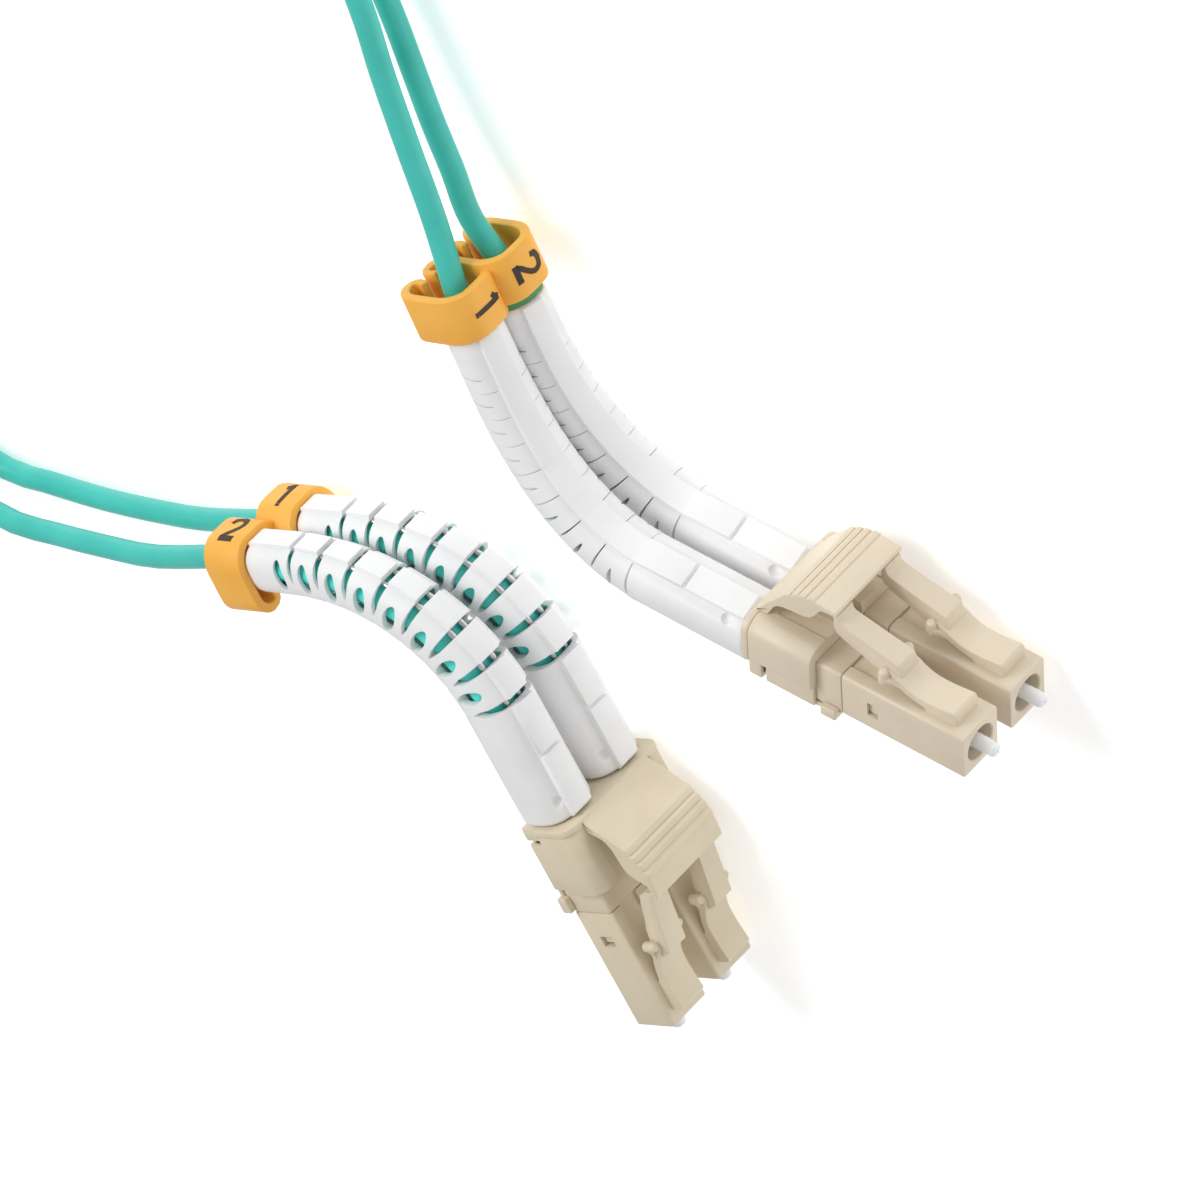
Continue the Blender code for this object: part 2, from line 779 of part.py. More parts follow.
def marker_outline():
    """The middle line of half a marker's wall as (y, z): from the number face to the curled-in end."""
    half = MARKER_HALF_WIDTH - MARKER_WALL / 2
    face = MARKER_FACE - MARKER_WALL / 2
    back = MARKER_BACK - MARKER_WALL / 2
    line = [(face, 0.0)]
    for k in range(1, 6):
        angle = math.pi / 2 * k / 5
        line.append((face - half * 0.85 * (1 - math.cos(angle)), half * math.sin(angle)))
    for k in range(1, 6):
        angle = math.pi / 2 * k / 5
        line.append((-back + 1.5 * (1 - math.sin(angle)), half - (half - 1.35) * (1 - math.cos(angle))))
    lip = MARKER_GAP / 2 + MARKER_WALL / 2
    line.append((-back + 0.15, lip + 0.12))
    line.append((-back + 0.7, lip))
    line.append((-back + 1.1, lip + 0.3))
    return line


def marker_mesh():
    """An open ring with two curled-in ends, along +X from its front."""
    half_line = marker_outline()
    line = [(y, -z) for y, z in reversed(half_line)] + half_line[1:]
    inner, outer = [], []
    for k, (y, z) in enumerate(line):
        before, after = line[max(k - 1, 0)], line[min(k + 1, len(line) - 1)]
        dy, dz = after[0] - before[0], after[1] - before[1]
        length = math.hypot(dy, dz)
        ny, nz = dz / length, -dy / length
        inner.append((y - ny * MARKER_WALL / 2, z - nz * MARKER_WALL / 2))
        outer.append((y + ny * MARKER_WALL / 2, z + nz * MARKER_WALL / 2))
    outline = outer + inner[::-1]
    shape = plate("marker", outline, MARKER_LENGTH / 2)
    mesh = finished_mesh(shape)
    # The outline's X is the marker's Y, its Y is Z, and its thickness runs along X.
    mesh.transform(Matrix(((0, 0, 1, 0), (1, 0, 0, 0), (0, 1, 0, 0), (0, 0, 0, 1))))
    return mesh


def band_mesh():
    r = NECK_R * SECTION_CORNER * math.sqrt(2) + GAP
    profile = [(0, r), (0, r + 0.35), (-BAND_LENGTH, r + 0.35), (-BAND_LENGTH, r)]
    return finished_mesh(turned("band", profile, 16))


# ---------------------------------------------------------------- cord and coil


def smooth_route(points, step=ROUTE_STEP):
    """Points a step apart on a smooth curve through the given ones."""
    knots = [Vector(p) for p in points]
    knots = [knots[0] * 2 - knots[1]] + knots + [knots[-1] * 2 - knots[-2]]
    dense = []
    for p0, p1, p2, p3 in zip(knots, knots[1:], knots[2:], knots[3:]):
        for k in range(24):
            t = k / 24
            dense.append(
                0.5 * ((2 * p1) + (p2 - p0) * t + (2 * p0 - 5 * p1 + 4 * p2 - p3) * t * t
                       + (3 * p1 - p0 - 3 * p2 + p3) * t ** 3)
            )
    dense.append(knots[-2])
    lengths = [0.0]
    for first, second in zip(dense, dense[1:]):
        lengths.append(lengths[-1] + (second - first).length)
    count = max(2, round(lengths[-1] / step))
    route, place = [], 0
    for k in range(count + 1):
        goal = lengths[-1] * k / count
        while place < len(dense) - 2 and lengths[place + 1] < goal:
            place += 1
        span = lengths[place + 1] - lengths[place]
        share = (goal - lengths[place]) / span if span else 0.0
        route.append(tuple(dense[place].lerp(dense[place + 1], min(share, 1.0))))
    return route


def tail_points(end, z):
    """The end of the cable inside a boot and the straight stretch out of it."""
    backs = (BOOT_END + 0.15, BOOT_END + 2.6)
    return [to_world(end, *bent(end, back, 0.0), z) for back in backs]


def coil_reach():
    """How far the wound cables reach to each side of the coil's middle radius."""
    return LAYER * COIL_WRAPS / 2 + 0.35


def coil_mesh():
    radial = coil_reach()
    low = COIL_LIFT
    high = COIL_LIFT + 4 * LAYER
    inner, outer = COIL_MEAN_R - radial, COIL_MEAN_R + radial
    edge = 0.8
    profile = [
        (low, inner + edge),
        (low, outer - edge),
        (low + edge, outer),
        (high - edge, outer),
        (high, outer - edge),
        (high, inner + edge),
        (high - edge, inner),
        (low + edge, inner),
    ]
    mesh = finished_mesh(turned("coil", profile, 40))
    # The profile was turned about X; the coil's axis is Z.
    mesh.transform(Matrix.Rotation(-math.pi / 2, 4, "Y"))
    return mesh


def tie_mesh():
    """A strap round the coil's section: a flat loop, long way along the coil's radius."""
    low, high = COIL_LIFT - GAP, COIL_LIFT + 4 * LAYER + GAP
    outer_x = COIL_MEAN_R + coil_reach() + GAP
    # The strap is flat and the coil's inner side is curved, so the strap stands off by the curve's depth.
    inner_r = COIL_MEAN_R - coil_reach()
    inner_x = inner_r - TIE_WIDTH**2 / (8 * inner_r) - 2 * GAP
    outer = box(
        "tie_outer",
        (inner_x - TIE_THICK, -TIE_WIDTH / 2, low - TIE_THICK),
        (outer_x + TIE_THICK, TIE_WIDTH / 2, high + TIE_THICK),
    )
    inner = box("tie_inner", (inner_x, -TIE_WIDTH, low), (outer_x, TIE_WIDTH, high))
    combine(outer, [inner], "DIFFERENCE")
    return finished_mesh(outer)


# ---------------------------------------------------------------- assembly


def build_end(key, masters, straight):
    end = ENDS[key]
    turn = math.radians(end["turn"])
    frame = bpy.data.objects.new("end_" + key, None)
    frame.location = metres((*end["nose"], 0.0))
    frame.rotation_euler = (0, 0, turn)
    parts.objects.link(frame)
    boot = boot_mesh(straight, end)
    for channel in (1, 2):
        tag = f"{key}{channel}"
        z = HIGH_Z if channel == end["high"] else LOW_Z
        hinge = (-HINGE_BACK, HALF + NOSE_HEIGHT - 0.6, z)
        add_part("plug_housing_" + tag, masters["housing"], "beige", frame, (0, 0, z))
        latch = add_part("latch_" + tag, masters["latch"], "beige", frame, hinge)
        latch.data.transform(Matrix.Translation(metres((-hinge[0], -hinge[1], 0))))
        add_part("rear_body_" + tag, masters["rear_body"], "beige", frame, (0, 0, z))
        add_part("ferrule_" + tag, masters["ferrule"], "ceramic", frame, (0, 0, z))
        add_part("flange_" + tag, masters["flange"], "brass", frame, (0, 0, z))
        add_tube("spring_" + tag, spring_points(), SPRING_WIRE_R, "steel", frame, (0, 0, z))
        add_part("crimp_body_" + tag, masters["crimp_body"], "nickel", frame, (0, 0, z))
        add_part("crimp_sleeve_" + tag, masters["sleeve"], "nickel", frame, (0, 0, z))
        add_part("boot_" + tag, boot, "boot_white", frame, (0, 0, z))
        add_tube("boot_wire_" + tag, wire_points(end), WIRE_R, "steel", frame, (0, 0, z))
        core = bent_line(end, POST_BACK + 0.1, BOOT_END - 0.15, 0.0, 0.0, 2.0)
        add_tube("cable_in_boot_" + tag, core, CABLE_R, "aqua", frame, (0, 0, z))
        banded = tag == "a2"
        back = NECK_START + GAP + (BAND_LENGTH + GAP if banded else 0.0)
        tilt = math.radians(end["bend"])
        at = bent(end, back + MARKER_LENGTH / 2, 0.0)
        add_part("marker_" + tag, masters["marker"], "marker_yellow", frame, (*at, z), -tilt)
        if banded:
            at = bent(end, NECK_START + GAP, 0.0)
            add_part("green_band", masters["band"], "band_green", frame, (*at, z), -tilt)
    middle = (LOW_Z + HIGH_Z) / 2
    add_part("clip_body_" + key, masters["clip_body"], "beige", frame, (0, 0, middle))
    lever_hinge = (-LEVER_HINGE_BACK, CLIP_TOP + GAP, middle)
    lever = add_part("clip_lever_" + key, masters["lever"], "beige", frame, lever_hinge)
    lever.data.transform(Matrix.Translation(metres((-lever_hinge[0], -lever_hinge[1], 0))))


def build_cord(masters):
    for leg in (1, 2):
        for key, route in (("a", LEG_A[leg]), ("b", LEG_B[leg][::-1])):
            end = ENDS[key]
            z = HIGH_Z if leg == end["high"] else LOW_Z
            points = smooth_route(tail_points(end, z) + route)
            add_tube(f"leg_{key}{leg}", points, CABLE_R, "aqua")
    add_part("coil", masters["coil"], "aqua", at=(*COIL_CENTRE, 0))
    add_part("coil_tie", masters["tie"], "tie_black", at=(*COIL_CENTRE, 0), turn=math.radians(TIE_ANGLE))


clear_scene()
parts = new_collection("fiber_optic_patch_cord")
helpers = new_collection("helpers")
materials = {name: make_material(name) for name in COLOURS}
for end_values in ENDS.values():
    end_values["samples"] = bend_samples(end_values)
meshes = {
    "housing": housing_mesh(),
    "latch": latch_mesh(),
    "rear_body": rear_body_mesh(),
    "ferrule": ferrule_mesh(),
    "flange": flange_mesh(),
    "crimp_body": crimp_body_mesh(),
    "sleeve": sleeve_mesh(),
    "clip_body": clip_body_mesh(),
    "lever": lever_mesh(),
    "marker": marker_mesh(),
    "band": band_mesh(),
    "coil": coil_mesh(),
    "tie": tie_mesh(),
}
plain_boot = straight_boot()
build_end("a", meshes, plain_boot)
build_end("b", meshes, plain_boot)
build_cord(meshes)
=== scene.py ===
"""The looks of a duplex fibre optic patch cord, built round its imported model.

Sizes are in millimetres in a plug's own frame: +X forward out of the plug, +Y towards its latch,
+Z up off the surface that the cord lies on. Each end's matrix takes that frame to the scene.
"""

import math

import bmesh
import bpy
from mathutils import Matrix, Vector

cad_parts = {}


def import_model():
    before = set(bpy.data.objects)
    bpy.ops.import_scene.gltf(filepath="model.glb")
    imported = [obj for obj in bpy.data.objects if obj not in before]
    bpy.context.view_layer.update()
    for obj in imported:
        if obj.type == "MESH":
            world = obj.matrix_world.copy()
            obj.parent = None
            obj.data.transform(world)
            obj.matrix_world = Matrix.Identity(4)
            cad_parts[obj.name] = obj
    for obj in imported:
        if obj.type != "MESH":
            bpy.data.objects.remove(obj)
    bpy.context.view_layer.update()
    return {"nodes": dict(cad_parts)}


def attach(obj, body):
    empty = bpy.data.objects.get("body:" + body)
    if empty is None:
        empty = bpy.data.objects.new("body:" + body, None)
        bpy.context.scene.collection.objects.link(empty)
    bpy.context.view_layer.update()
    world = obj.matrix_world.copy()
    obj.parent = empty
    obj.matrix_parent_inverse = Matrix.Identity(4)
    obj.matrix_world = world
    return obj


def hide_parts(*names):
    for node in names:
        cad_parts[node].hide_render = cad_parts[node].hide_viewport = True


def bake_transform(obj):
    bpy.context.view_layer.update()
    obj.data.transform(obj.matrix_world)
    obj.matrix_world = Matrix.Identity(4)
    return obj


MM = 0.001

# Plugs, as in the model
PITCH = 6.25
HALF = 2.25
HOUSING_LENGTH = 11.75
BODY_BACK = 14.13
CLIP_FRONT = 14.2
CLIP_BACK = 20.85
CLIP_HALF_OVER = 3.1
LEVER_HALF_WIDTH = 4.42
LOW_Z = CLIP_HALF_OVER
HIGH_Z = LOW_Z + PITCH
MIDDLE_Z = (LOW_Z + HIGH_Z) / 2
CLIP_TOP = 3.6
PLUG_CORNER = 0.32
BORE_R = 1.6
FERRULE_R = 0.625
FERRULE_FRONT = 1.63
LATCH_HALF, HINGE_HALF = 1.17, 1.44

# Boot, as in the model; each slit across its top and bottom is followed by an oval one in each side
BOOT_FRONT = 20.95
BOOT_HALF_FRONT, BOOT_HALF_TAIL = 2.75, 2.3
RAIL_HALF = 1.15
RAIL_RISE = 0.42
RAIL_NOTCH = 27.25
FLEX_START = 31.6
SLIT_COUNT = 16
SLIT_PITCH = 1.27
FLEX_LENGTH = SLIT_COUNT * SLIT_PITCH
BOOT_TAIL = 3.2
NECK_START = FLEX_START + FLEX_LENGTH + BOOT_TAIL
BOOT_END = NECK_START + 2.4
NECK_R = 1.7
BEND_PIVOT = 2.6
ZONE_MARGIN = 0.05
ACROSS_SHARE = 0.6
ACROSS_TOP_FLOOR = -0.3
ACROSS_LOW_CEILING = -1.5
SIDE_LOW, SIDE_HIGH = -1.2, 1.7
CUTTER_REACH = 4.2
SPLIT_BACK = FLEX_START + (SLIT_COUNT / 2 + 0.5) * SLIT_PITCH
WIRE_R = 0.29
WIRE_HEIGHT = 1.75
WIRE_HALF_SPAN = 0.72
CABLE_R = 1.0
SLEEVE_HIGH = 1.5
SLEEVE_WIDE = 1.92
MARKER_LENGTH = 4.2
MARKER_WALL = 0.8
MARKER_DROP = -0.45
BAND_LENGTH = 0.8
GAP = 0.08

# Slits are (width across, width of the side ones); twist turns the section about the boot's middle.
# End B's bend is a little easier than the model's, as the photo shows
ENDS = {
    "a": {
        "nose": (17.525, 0.0), "turn": 0.0, "bend": 66.0, "power": 2.4, "high": 1, "slits": (0.06, 0.2),
        "twist": 18.0,
    },
    "b": {
        "nose": (-15.01, -53.99), "turn": -59.76, "bend": -87.0, "power": 1.3, "high": 2,
        "slits": (0.28, 1.0), "twist": 0.0,
    },
}

# How far each boot's tail leans off the bend's own line: outward, along it, and up off the surface
LEAN = {
    "a1": (-0.6, -0.5, 0.0), "a2": (0.3, -0.8, 1.8), "b1": (-0.5, -2.0, 1.5), "b2": (-0.6, 0.0, 0.0),
}

# The legs' chosen points: the model's, drawn closer to the photo's cords near the boots
LEG_A = {
    1: [(-35.5, 26.0, 8.0), (-38.6, 31.4, 6.9), (-41.4, 37.0, 6.0), (-43.8, 42.9, 5.3), (-48.9, 52.3, 4.2),
        (-53.1, 62.5, 3.7)],
    2: [(-34.9, 23.4, 4.3), (-36.9, 27.0, 3.7), (-39.0, 30.7, 3.2), (-40.8, 34.6, 2.8), (-43.5, 40.6, 2.3),
        (-48.6, 51.2, 1.75), (-53.1, 62.5, 1.65)],
}
LEG_B = {
    1: [(-105.9, 63.0, 5.7), (-106.1, 50.0, 3.9), (-106.6, 37.0, 1.7), (-107.8, 24.0, 1.06),
        (-109.3, 8.0, 1.06), (-110.5, -9.0, 1.06), (-110.6, -22.5, 1.06), (-107.2, -34.0, 1.06),
        (-99.8, -40.6, 1.3), (-90.6, -42.1, 1.65), (-84.4, -40.0, 2.2), (-78.1, -37.5, 2.8),
        (-71.8, -34.5, 3.4), (-65.6, -31.1, 4.0)],
    2: [(-105.9, 63.0, 7.8), (-106.3, 50.0, 6.3), (-107.6, 37.0, 3.9), (-109.9, 24.0, 1.6),
        (-111.7, 8.0, 1.06), (-113.0, -9.0, 1.06), (-113.3, -23.2, 1.3), (-109.4, -36.0, 2.3),
        (-99.6, -42.7, 4.6), (-86.4, -41.1, 6.8), (-80.1, -38.8, 7.4), (-73.9, -36.1, 7.9),
        (-67.7, -33.0, 8.4)],
}
LEG_LENGTH = 1.0
COIL_CENTRE = (-79.5, 64.0)
COIL_MEAN_R = 21.6
COIL_REACH = 3.425
COIL_LOW = 0.6
LAYER = 2.05

# The camera: a long lens, as far away as the plugs' perspective shows
CAMERA_RIGHT = Vector((0.79673, -0.04172, -0.60289))
CAMERA_UP = Vector((-0.42460, 0.67125, -0.60757))
CAMERA_BACK = Vector((0.43004, 0.74006, 0.51709))
CAMERA_FROM_NOSE = Vector((401.8, 748.7, 528.2))
LENS = 386.4
SENSOR = 36.0
WORLD_STRENGTH = 0.52
KEY_POWER = 3.2
FILL_POWER = 0.25


# ---- meshes


def clamped(share):
    return min(max(share, 0.0), 1.0)


def eased(share):
    """Zero to one with level ends."""
    share = clamped(share)
    return share * share * (3 - 2 * share)


def around(count):
    """The cosine and sine of evenly spaced angles round a circle."""
    angles = [2 * math.pi * k / count for k in range(count)]
    return [(math.cos(angle), math.sin(angle)) for angle in angles]


def quarter(steps):
    """The cosine and sine of even steps from 0 to 90 degrees, with both ends."""
    angles = [math.pi / 2 * k / steps for k in range(steps + 1)]
    return [(math.cos(angle), math.sin(angle)) for angle in angles]


def channel_height(end, channel):
    return HIGH_Z if channel == end["high"] else LOW_Z


def scratch(name, data):
    obj = bpy.data.objects.new(name, data)
    bpy.context.scene.collection.objects.link(obj)
    return obj


def from_bmesh(bm, name):
    bmesh.ops.recalc_face_normals(bm, faces=bm.faces)
    mesh = bpy.data.meshes.new(name)
    bm.to_mesh(mesh)
    bm.free()
    return scratch(name, mesh)


def applied(obj):
    """The object's mesh with its modifiers applied; the object goes."""
    bpy.context.view_layer.update()
    graph = bpy.context.evaluated_depsgraph_get()
    mesh = bpy.data.meshes.new_from_object(obj.evaluated_get(graph))
    bpy.data.objects.remove(obj)
    return mesh


def joined(obj, others, operation):
    """Booleans the others into or out of obj and removes them."""
    for other in others:
        modifier = obj.modifiers.new(other.name, "BOOLEAN")
        modifier.operation = operation
        modifier.object = other
        modifier.solver = "EXACT"
    result = scratch(obj.name, applied(obj))
    for other in others:
        bpy.data.objects.remove(other)
    return result


def rounded(obj, width, segments=3, angle=32.0):
    """Rounds every edge that is sharper than the angle."""
    bm = bmesh.new()
    bm.from_mesh(obj.data)
    bmesh.ops.remove_doubles(bm, verts=bm.verts, dist=0.003)
    bmesh.ops.dissolve_limit(bm, angle_limit=math.radians(1.5), verts=bm.verts, edges=bm.edges)
    bm.to_mesh(obj.data)
    bm.free()
    modifier = obj.modifiers.new("bevel", "BEVEL")
    modifier.width = width
    modifier.segments = segments
    modifier.limit_method = "ANGLE"
    modifier.angle_limit = math.radians(angle)
    modifier.miter_outer = "MITER_ARC"
    return scratch(obj.name, applied(obj))


def box(name, low, high):
    bm = bmesh.new()
    bmesh.ops.create_cube(bm, size=1.0)
    bmesh.ops.scale(bm, vec=[b - a for a, b in zip(low, high)], verts=bm.verts)
    bmesh.ops.translate(bm, vec=[(a + b) / 2 for a, b in zip(low, high)], verts=bm.verts)
    return from_bmesh(bm, name)


def rod(name, radius, x_front, x_back, sides=40, radius_back=None):
    bm = bmesh.new()
    back = radius if radius_back is None else radius_back
    depth = x_front - x_back
    bmesh.ops.create_cone(bm, cap_ends=True, segments=sides, radius1=back, radius2=radius, depth=depth)
    bmesh.ops.rotate(bm, matrix=Matrix.Rotation(math.pi / 2, 3, "Y"), verts=bm.verts)
    bmesh.ops.translate(bm, vec=((x_front + x_back) / 2, 0, 0), verts=bm.verts)
    return from_bmesh(bm, name)


def skin(name, rings):
    """A solid through rings of 3-D points, all with the same number of points."""
    bm = bmesh.new()
    loops = [[bm.verts.new(p) for p in ring] for ring in rings]
    count = len(loops[0])
    for ring, following in zip(loops, loops[1:]):
        for k in range(count):
            bm.faces.new((ring[k], ring[(k + 1) % count], following[(k + 1) % count], following[k]))
    bm.faces.new(loops[0])
    bm.faces.new(loops[-1])
    return from_bmesh(bm, name)


def plate(name, outline, z_low, z_high, taper=None):
    """A solid with an outline in X and Y between two heights; taper narrows it towards its top in Y."""
    rings = []
    for z in (z_low, z_high):
        ring = []
        for x, y in outline:
            side = 1 if z == z_high else -1
            ring.append((x, y, z - side * (taper(y) if taper else 0.0)))
        rings.append(ring)
    return skin(name, rings)


def turned(name, profile, sides=48):
    """A ring or rod about X from (x, radius) points in order, closed back to the first."""
    bm = bmesh.new()
    rings = []
    for x, radius in profile:
        rings.append([bm.verts.new((x, radius * c, radius * s)) for c, s in around(sides)])
    for ring, following in zip(rings, rings[1:] + rings[:1]):
        for k in range(sides):
            bm.faces.new((ring[k], ring[(k + 1) % sides], following[(k + 1) % sides], following[k]))
    bmesh.ops.remove_doubles(bm, verts=bm.verts, dist=0.0001)
    return from_bmesh(bm, name)


def curve_through(points, count):
    """Points evenly along a smooth curve through the given ones."""
    knots = [Vector(p) for p in points]
    knots = [knots[0] * 2 - knots[1]] + knots + [knots[-1] * 2 - knots[-2]]
    dense = []
    for p0, p1, p2, p3 in zip(knots, knots[1:], knots[2:], knots[3:]):
        for k in range(24):
            t = k / 24
            straight = 2 * p1 + (p2 - p0) * t
            bow = (2 * p0 - 5 * p1 + 4 * p2 - p3) * t * t + (3 * p1 - p0 - 3 * p2 + p3) * t**3
            dense.append((straight + bow) * 0.5)
    dense.append(knots[-2])
    return evenly(dense, count)


def evenly(dense, count):
    lengths = [0.0]
    for first, second in zip(dense, dense[1:]):
        lengths.append(lengths[-1] + (second - first).length)
    route, place = [], 0
    for k in range(count + 1):
        goal = lengths[-1] * k / count
        while place < len(dense) - 2 and lengths[place + 1] < goal:
            place += 1
        span = lengths[place + 1] - lengths[place]
        share = (goal - lengths[place]) / span if span else 0.0
        route.append(dense[place].lerp(dense[place + 1], min(share, 1.0)))
    return route


def run_length(points):
    return sum((b - a).length for a, b in zip(points, points[1:]))


# ---- ends


def bend_table(end, stepped, count=1600):
    """(s, x, y, angle) down the middle of the flexible stretch. Stepped turns only in the slits."""
    total = math.radians(end["bend"])
    pairs = SLIT_COUNT // 2

    def law(share):
        return total * (1 - (1 - min(share, 1.0)) ** end["power"])

    turns = []
    for slit in range(SLIT_COUNT):
        whole = law((slit // 2 + 1) / pairs) - law((slit // 2) / pairs)
        across = slit % 2 == 0
        middle = (slit + 0.5) * SLIT_PITCH
        zone = end["slits"][0 if across else 1] / 2 + ZONE_MARGIN
        turns.append((middle - zone, middle + zone, whole * (ACROSS_SHARE if across else 1 - ACROSS_SHARE)))

    def angle_at(s):
        if not stepped:
            return law(s / FLEX_LENGTH)
        return sum(turn * clamped((s - low) / (high - low)) for low, high, turn in turns)

    x, y, before = -FLEX_START, 0.0, 0.0
    table = [(0.0, x, y, 0.0)]
    step = FLEX_LENGTH / count
    for index in range(count):
        after = angle_at((index + 1) * step)
        stretch = step + BEND_PIVOT * abs(after - before)
        middle = (before + after) / 2
        x -= math.cos(middle) * stretch
        y += math.sin(middle) * stretch
        table.append(((index + 1) * step, x, y, after))
        before = after
    return table


def bent(table, back, height):
    """A point of the end's frame at a distance back along the bent middle and a height off it."""
    s = back - FLEX_START
    if s <= 0:
        return -back, height
    place = min(s, FLEX_LENGTH) / FLEX_LENGTH * (len(table) - 1)
    index = min(int(place), len(table) - 2)
    share = place - index
    x, y, angle = (table[index][k] * (1 - share) + table[index + 1][k] * share for k in (1, 2, 3))
    beyond = max(s - FLEX_LENGTH, 0.0)
    x -= math.cos(angle) * beyond
    y += math.sin(angle) * beyond
    return x + math.sin(angle) * height, y + math.cos(angle) * height


def placed(end, tag, table, back, height, z=0.0):
    """A point of a boot with its bend and its lean, in its end's frame."""
    x, y = bent(table, back, height)
    share = eased((back - FLEX_START) / FLEX_LENGTH)
    outward, along, up = (share * amount for amount in LEAN[tag])
    bend = math.radians(end["bend"])
    x += outward * math.sin(bend) - along * math.cos(bend)
    y += outward * math.cos(bend) + along * math.sin(bend)
    return x, y, z + up


def end_point(end, x, y, z):
    """A point of an end's frame in the scene, in millimetres."""
    turn = math.radians(end["turn"])
    return Vector((
        end["nose"][0] + x * math.cos(turn) - y * math.sin(turn),
        end["nose"][1] + x * math.sin(turn) + y * math.cos(turn),
        z,
    ))


def metres(point):
    return tuple(c * MM for c in point)


def in_scene(end, at=(0, 0, 0), turn=0.0):
    """The matrix from millimetres about a point of an end's frame to the scene's metres."""
    nose = Vector((*end["nose"], 0.0)) * MM
    place = Matrix.Translation(nose) @ Matrix.Rotation(math.radians(end["turn"]), 4, "Z")
    return place @ Matrix.Translation(Vector(at) * MM) @ Matrix.Rotation(turn, 4, "Z") @ Matrix.Scale(MM, 4)


def piece(name, mesh, matrix, material, smooth=32.0):
    """A finished piece whose mesh is a copy in the scene's own frame."""
    data = mesh.copy()
    data.name = name
    data.transform(matrix)
    data.materials.clear()
    data.materials.append(material)
    data.shade_smooth()
    data.set_sharp_from_angle(angle=math.radians(smooth))
    obj = scratch(name, data)
    return obj


def wire(name, points, radius, resolution):
    """A round wire or cable through points in millimetres, in the scene."""
    curve = bpy.data.curves.new(name, "CURVE")
    curve.dimensions = "3D"
    curve.bevel_depth = radius * MM
    curve.bevel_resolution = resolution
    curve.use_fill_caps = True
    spline = curve.splines.new("POLY")
    spline.points.add(len(points) - 1)
    for target, point in zip(spline.points, points):
        target.co = (*metres(point), 1)
    spline.use_smooth = True
    return scratch(name, curve)


# ---- materials


class Nodes:
    """A small helper that adds and links shader nodes."""

    def __init__(self, name):
        self.material = bpy.data.materials.new(name)
        self.material.use_nodes = True
        self.tree = self.material.node_tree
        self.shader = self.tree.nodes["Principled BSDF"]

    def add(self, kind, inputs=(), **settings):
        """A new node: settings are its own values, and inputs name links or values for its sockets."""
        node = self.tree.nodes.new("ShaderNode" + kind)
        for key, value in settings.items():
            setattr(node, key, value)
        self.fill(node, dict(inputs))
        return node

    def fill(self, node, inputs):
        for key, value in inputs.items():
            if isinstance(value, bpy.types.NodeSocket):
                self.tree.links.new(value, node.inputs[key])
            else:
                node.inputs[key].default_value = value

    def set(self, **values):
        self.fill(self.shader, {key.replace("_", " "): value for key, value in values.items()})

    def texture_space(self):
        """Object coordinates, which are metres in the scene's frame."""
        return self.add("TexCoord").outputs["Object"]

    def noise(self, scale, detail=3.0, roughness=0.55):
        inputs = {"Vector": self.texture_space(), "Scale": scale, "Detail": detail, "Roughness": roughness}
        return self.add("TexNoise", inputs).outputs["Fac"]

    def ramp(self, factor, stops):
        node = self.add("ValToRGB", {"Fac": factor})
        for element, (position, colour) in zip(node.color_ramp.elements, stops):
            element.position = position
            element.color = (*colour, 1.0)
        return node.outputs["Color"]

    def span(self, factor, low, high):
        return self.add("MapRange", {"Value": factor, "To Min": low, "To Max": high}).outputs["Result"]

    def bump(self, height, strength, distance):
        node = self.add("Bump", {"Height": height, "Strength": strength, "Distance": distance})
        self.set(Normal=node.outputs["Normal"])


def plastic(name, dark, light, rough, fine=4200.0, bump=0.12, subsurface=0.0):
    """Moulded plastic: a faint cloudiness in its colour, and a fine grain in gloss and surface."""
    nodes = Nodes(name)
    cloud = nodes.noise(260.0, 2.0)
    nodes.set(Base_Color=nodes.ramp(cloud, [(0.3, dark), (0.7, light)]))
    grain = nodes.noise(fine, 4.0, 0.6)
    nodes.set(Roughness=nodes.span(grain, rough - 0.07, rough + 0.09))
    nodes.bump(grain, bump, 0.00002)
    if subsurface:
        nodes.set(Subsurface_Weight=subsurface, Subsurface_Radius=(0.6, 0.5, 0.4), Subsurface_Scale=0.001)
    return nodes.material


def metal(name, dark, light, rough):
    """Drawn or turned metal with fine streaks."""
    nodes = Nodes(name)
    streaks = nodes.add("Mapping", {"Vector": nodes.texture_space(), "Scale": (900.0, 12000.0, 12000.0)})
    noise = nodes.add("TexNoise", {"Vector": streaks.outputs["Vector"], "Scale": 1.0, "Detail": 2.0})
    factor = noise.outputs["Fac"]
    nodes.set(Base_Color=nodes.ramp(factor, [(0.3, dark), (0.7, light)]), Metallic=1.0)
    nodes.set(Roughness=nodes.span(factor, rough - 0.05, rough + 0.1))
    nodes.bump(factor, 0.1, 0.000005)
    return nodes.material


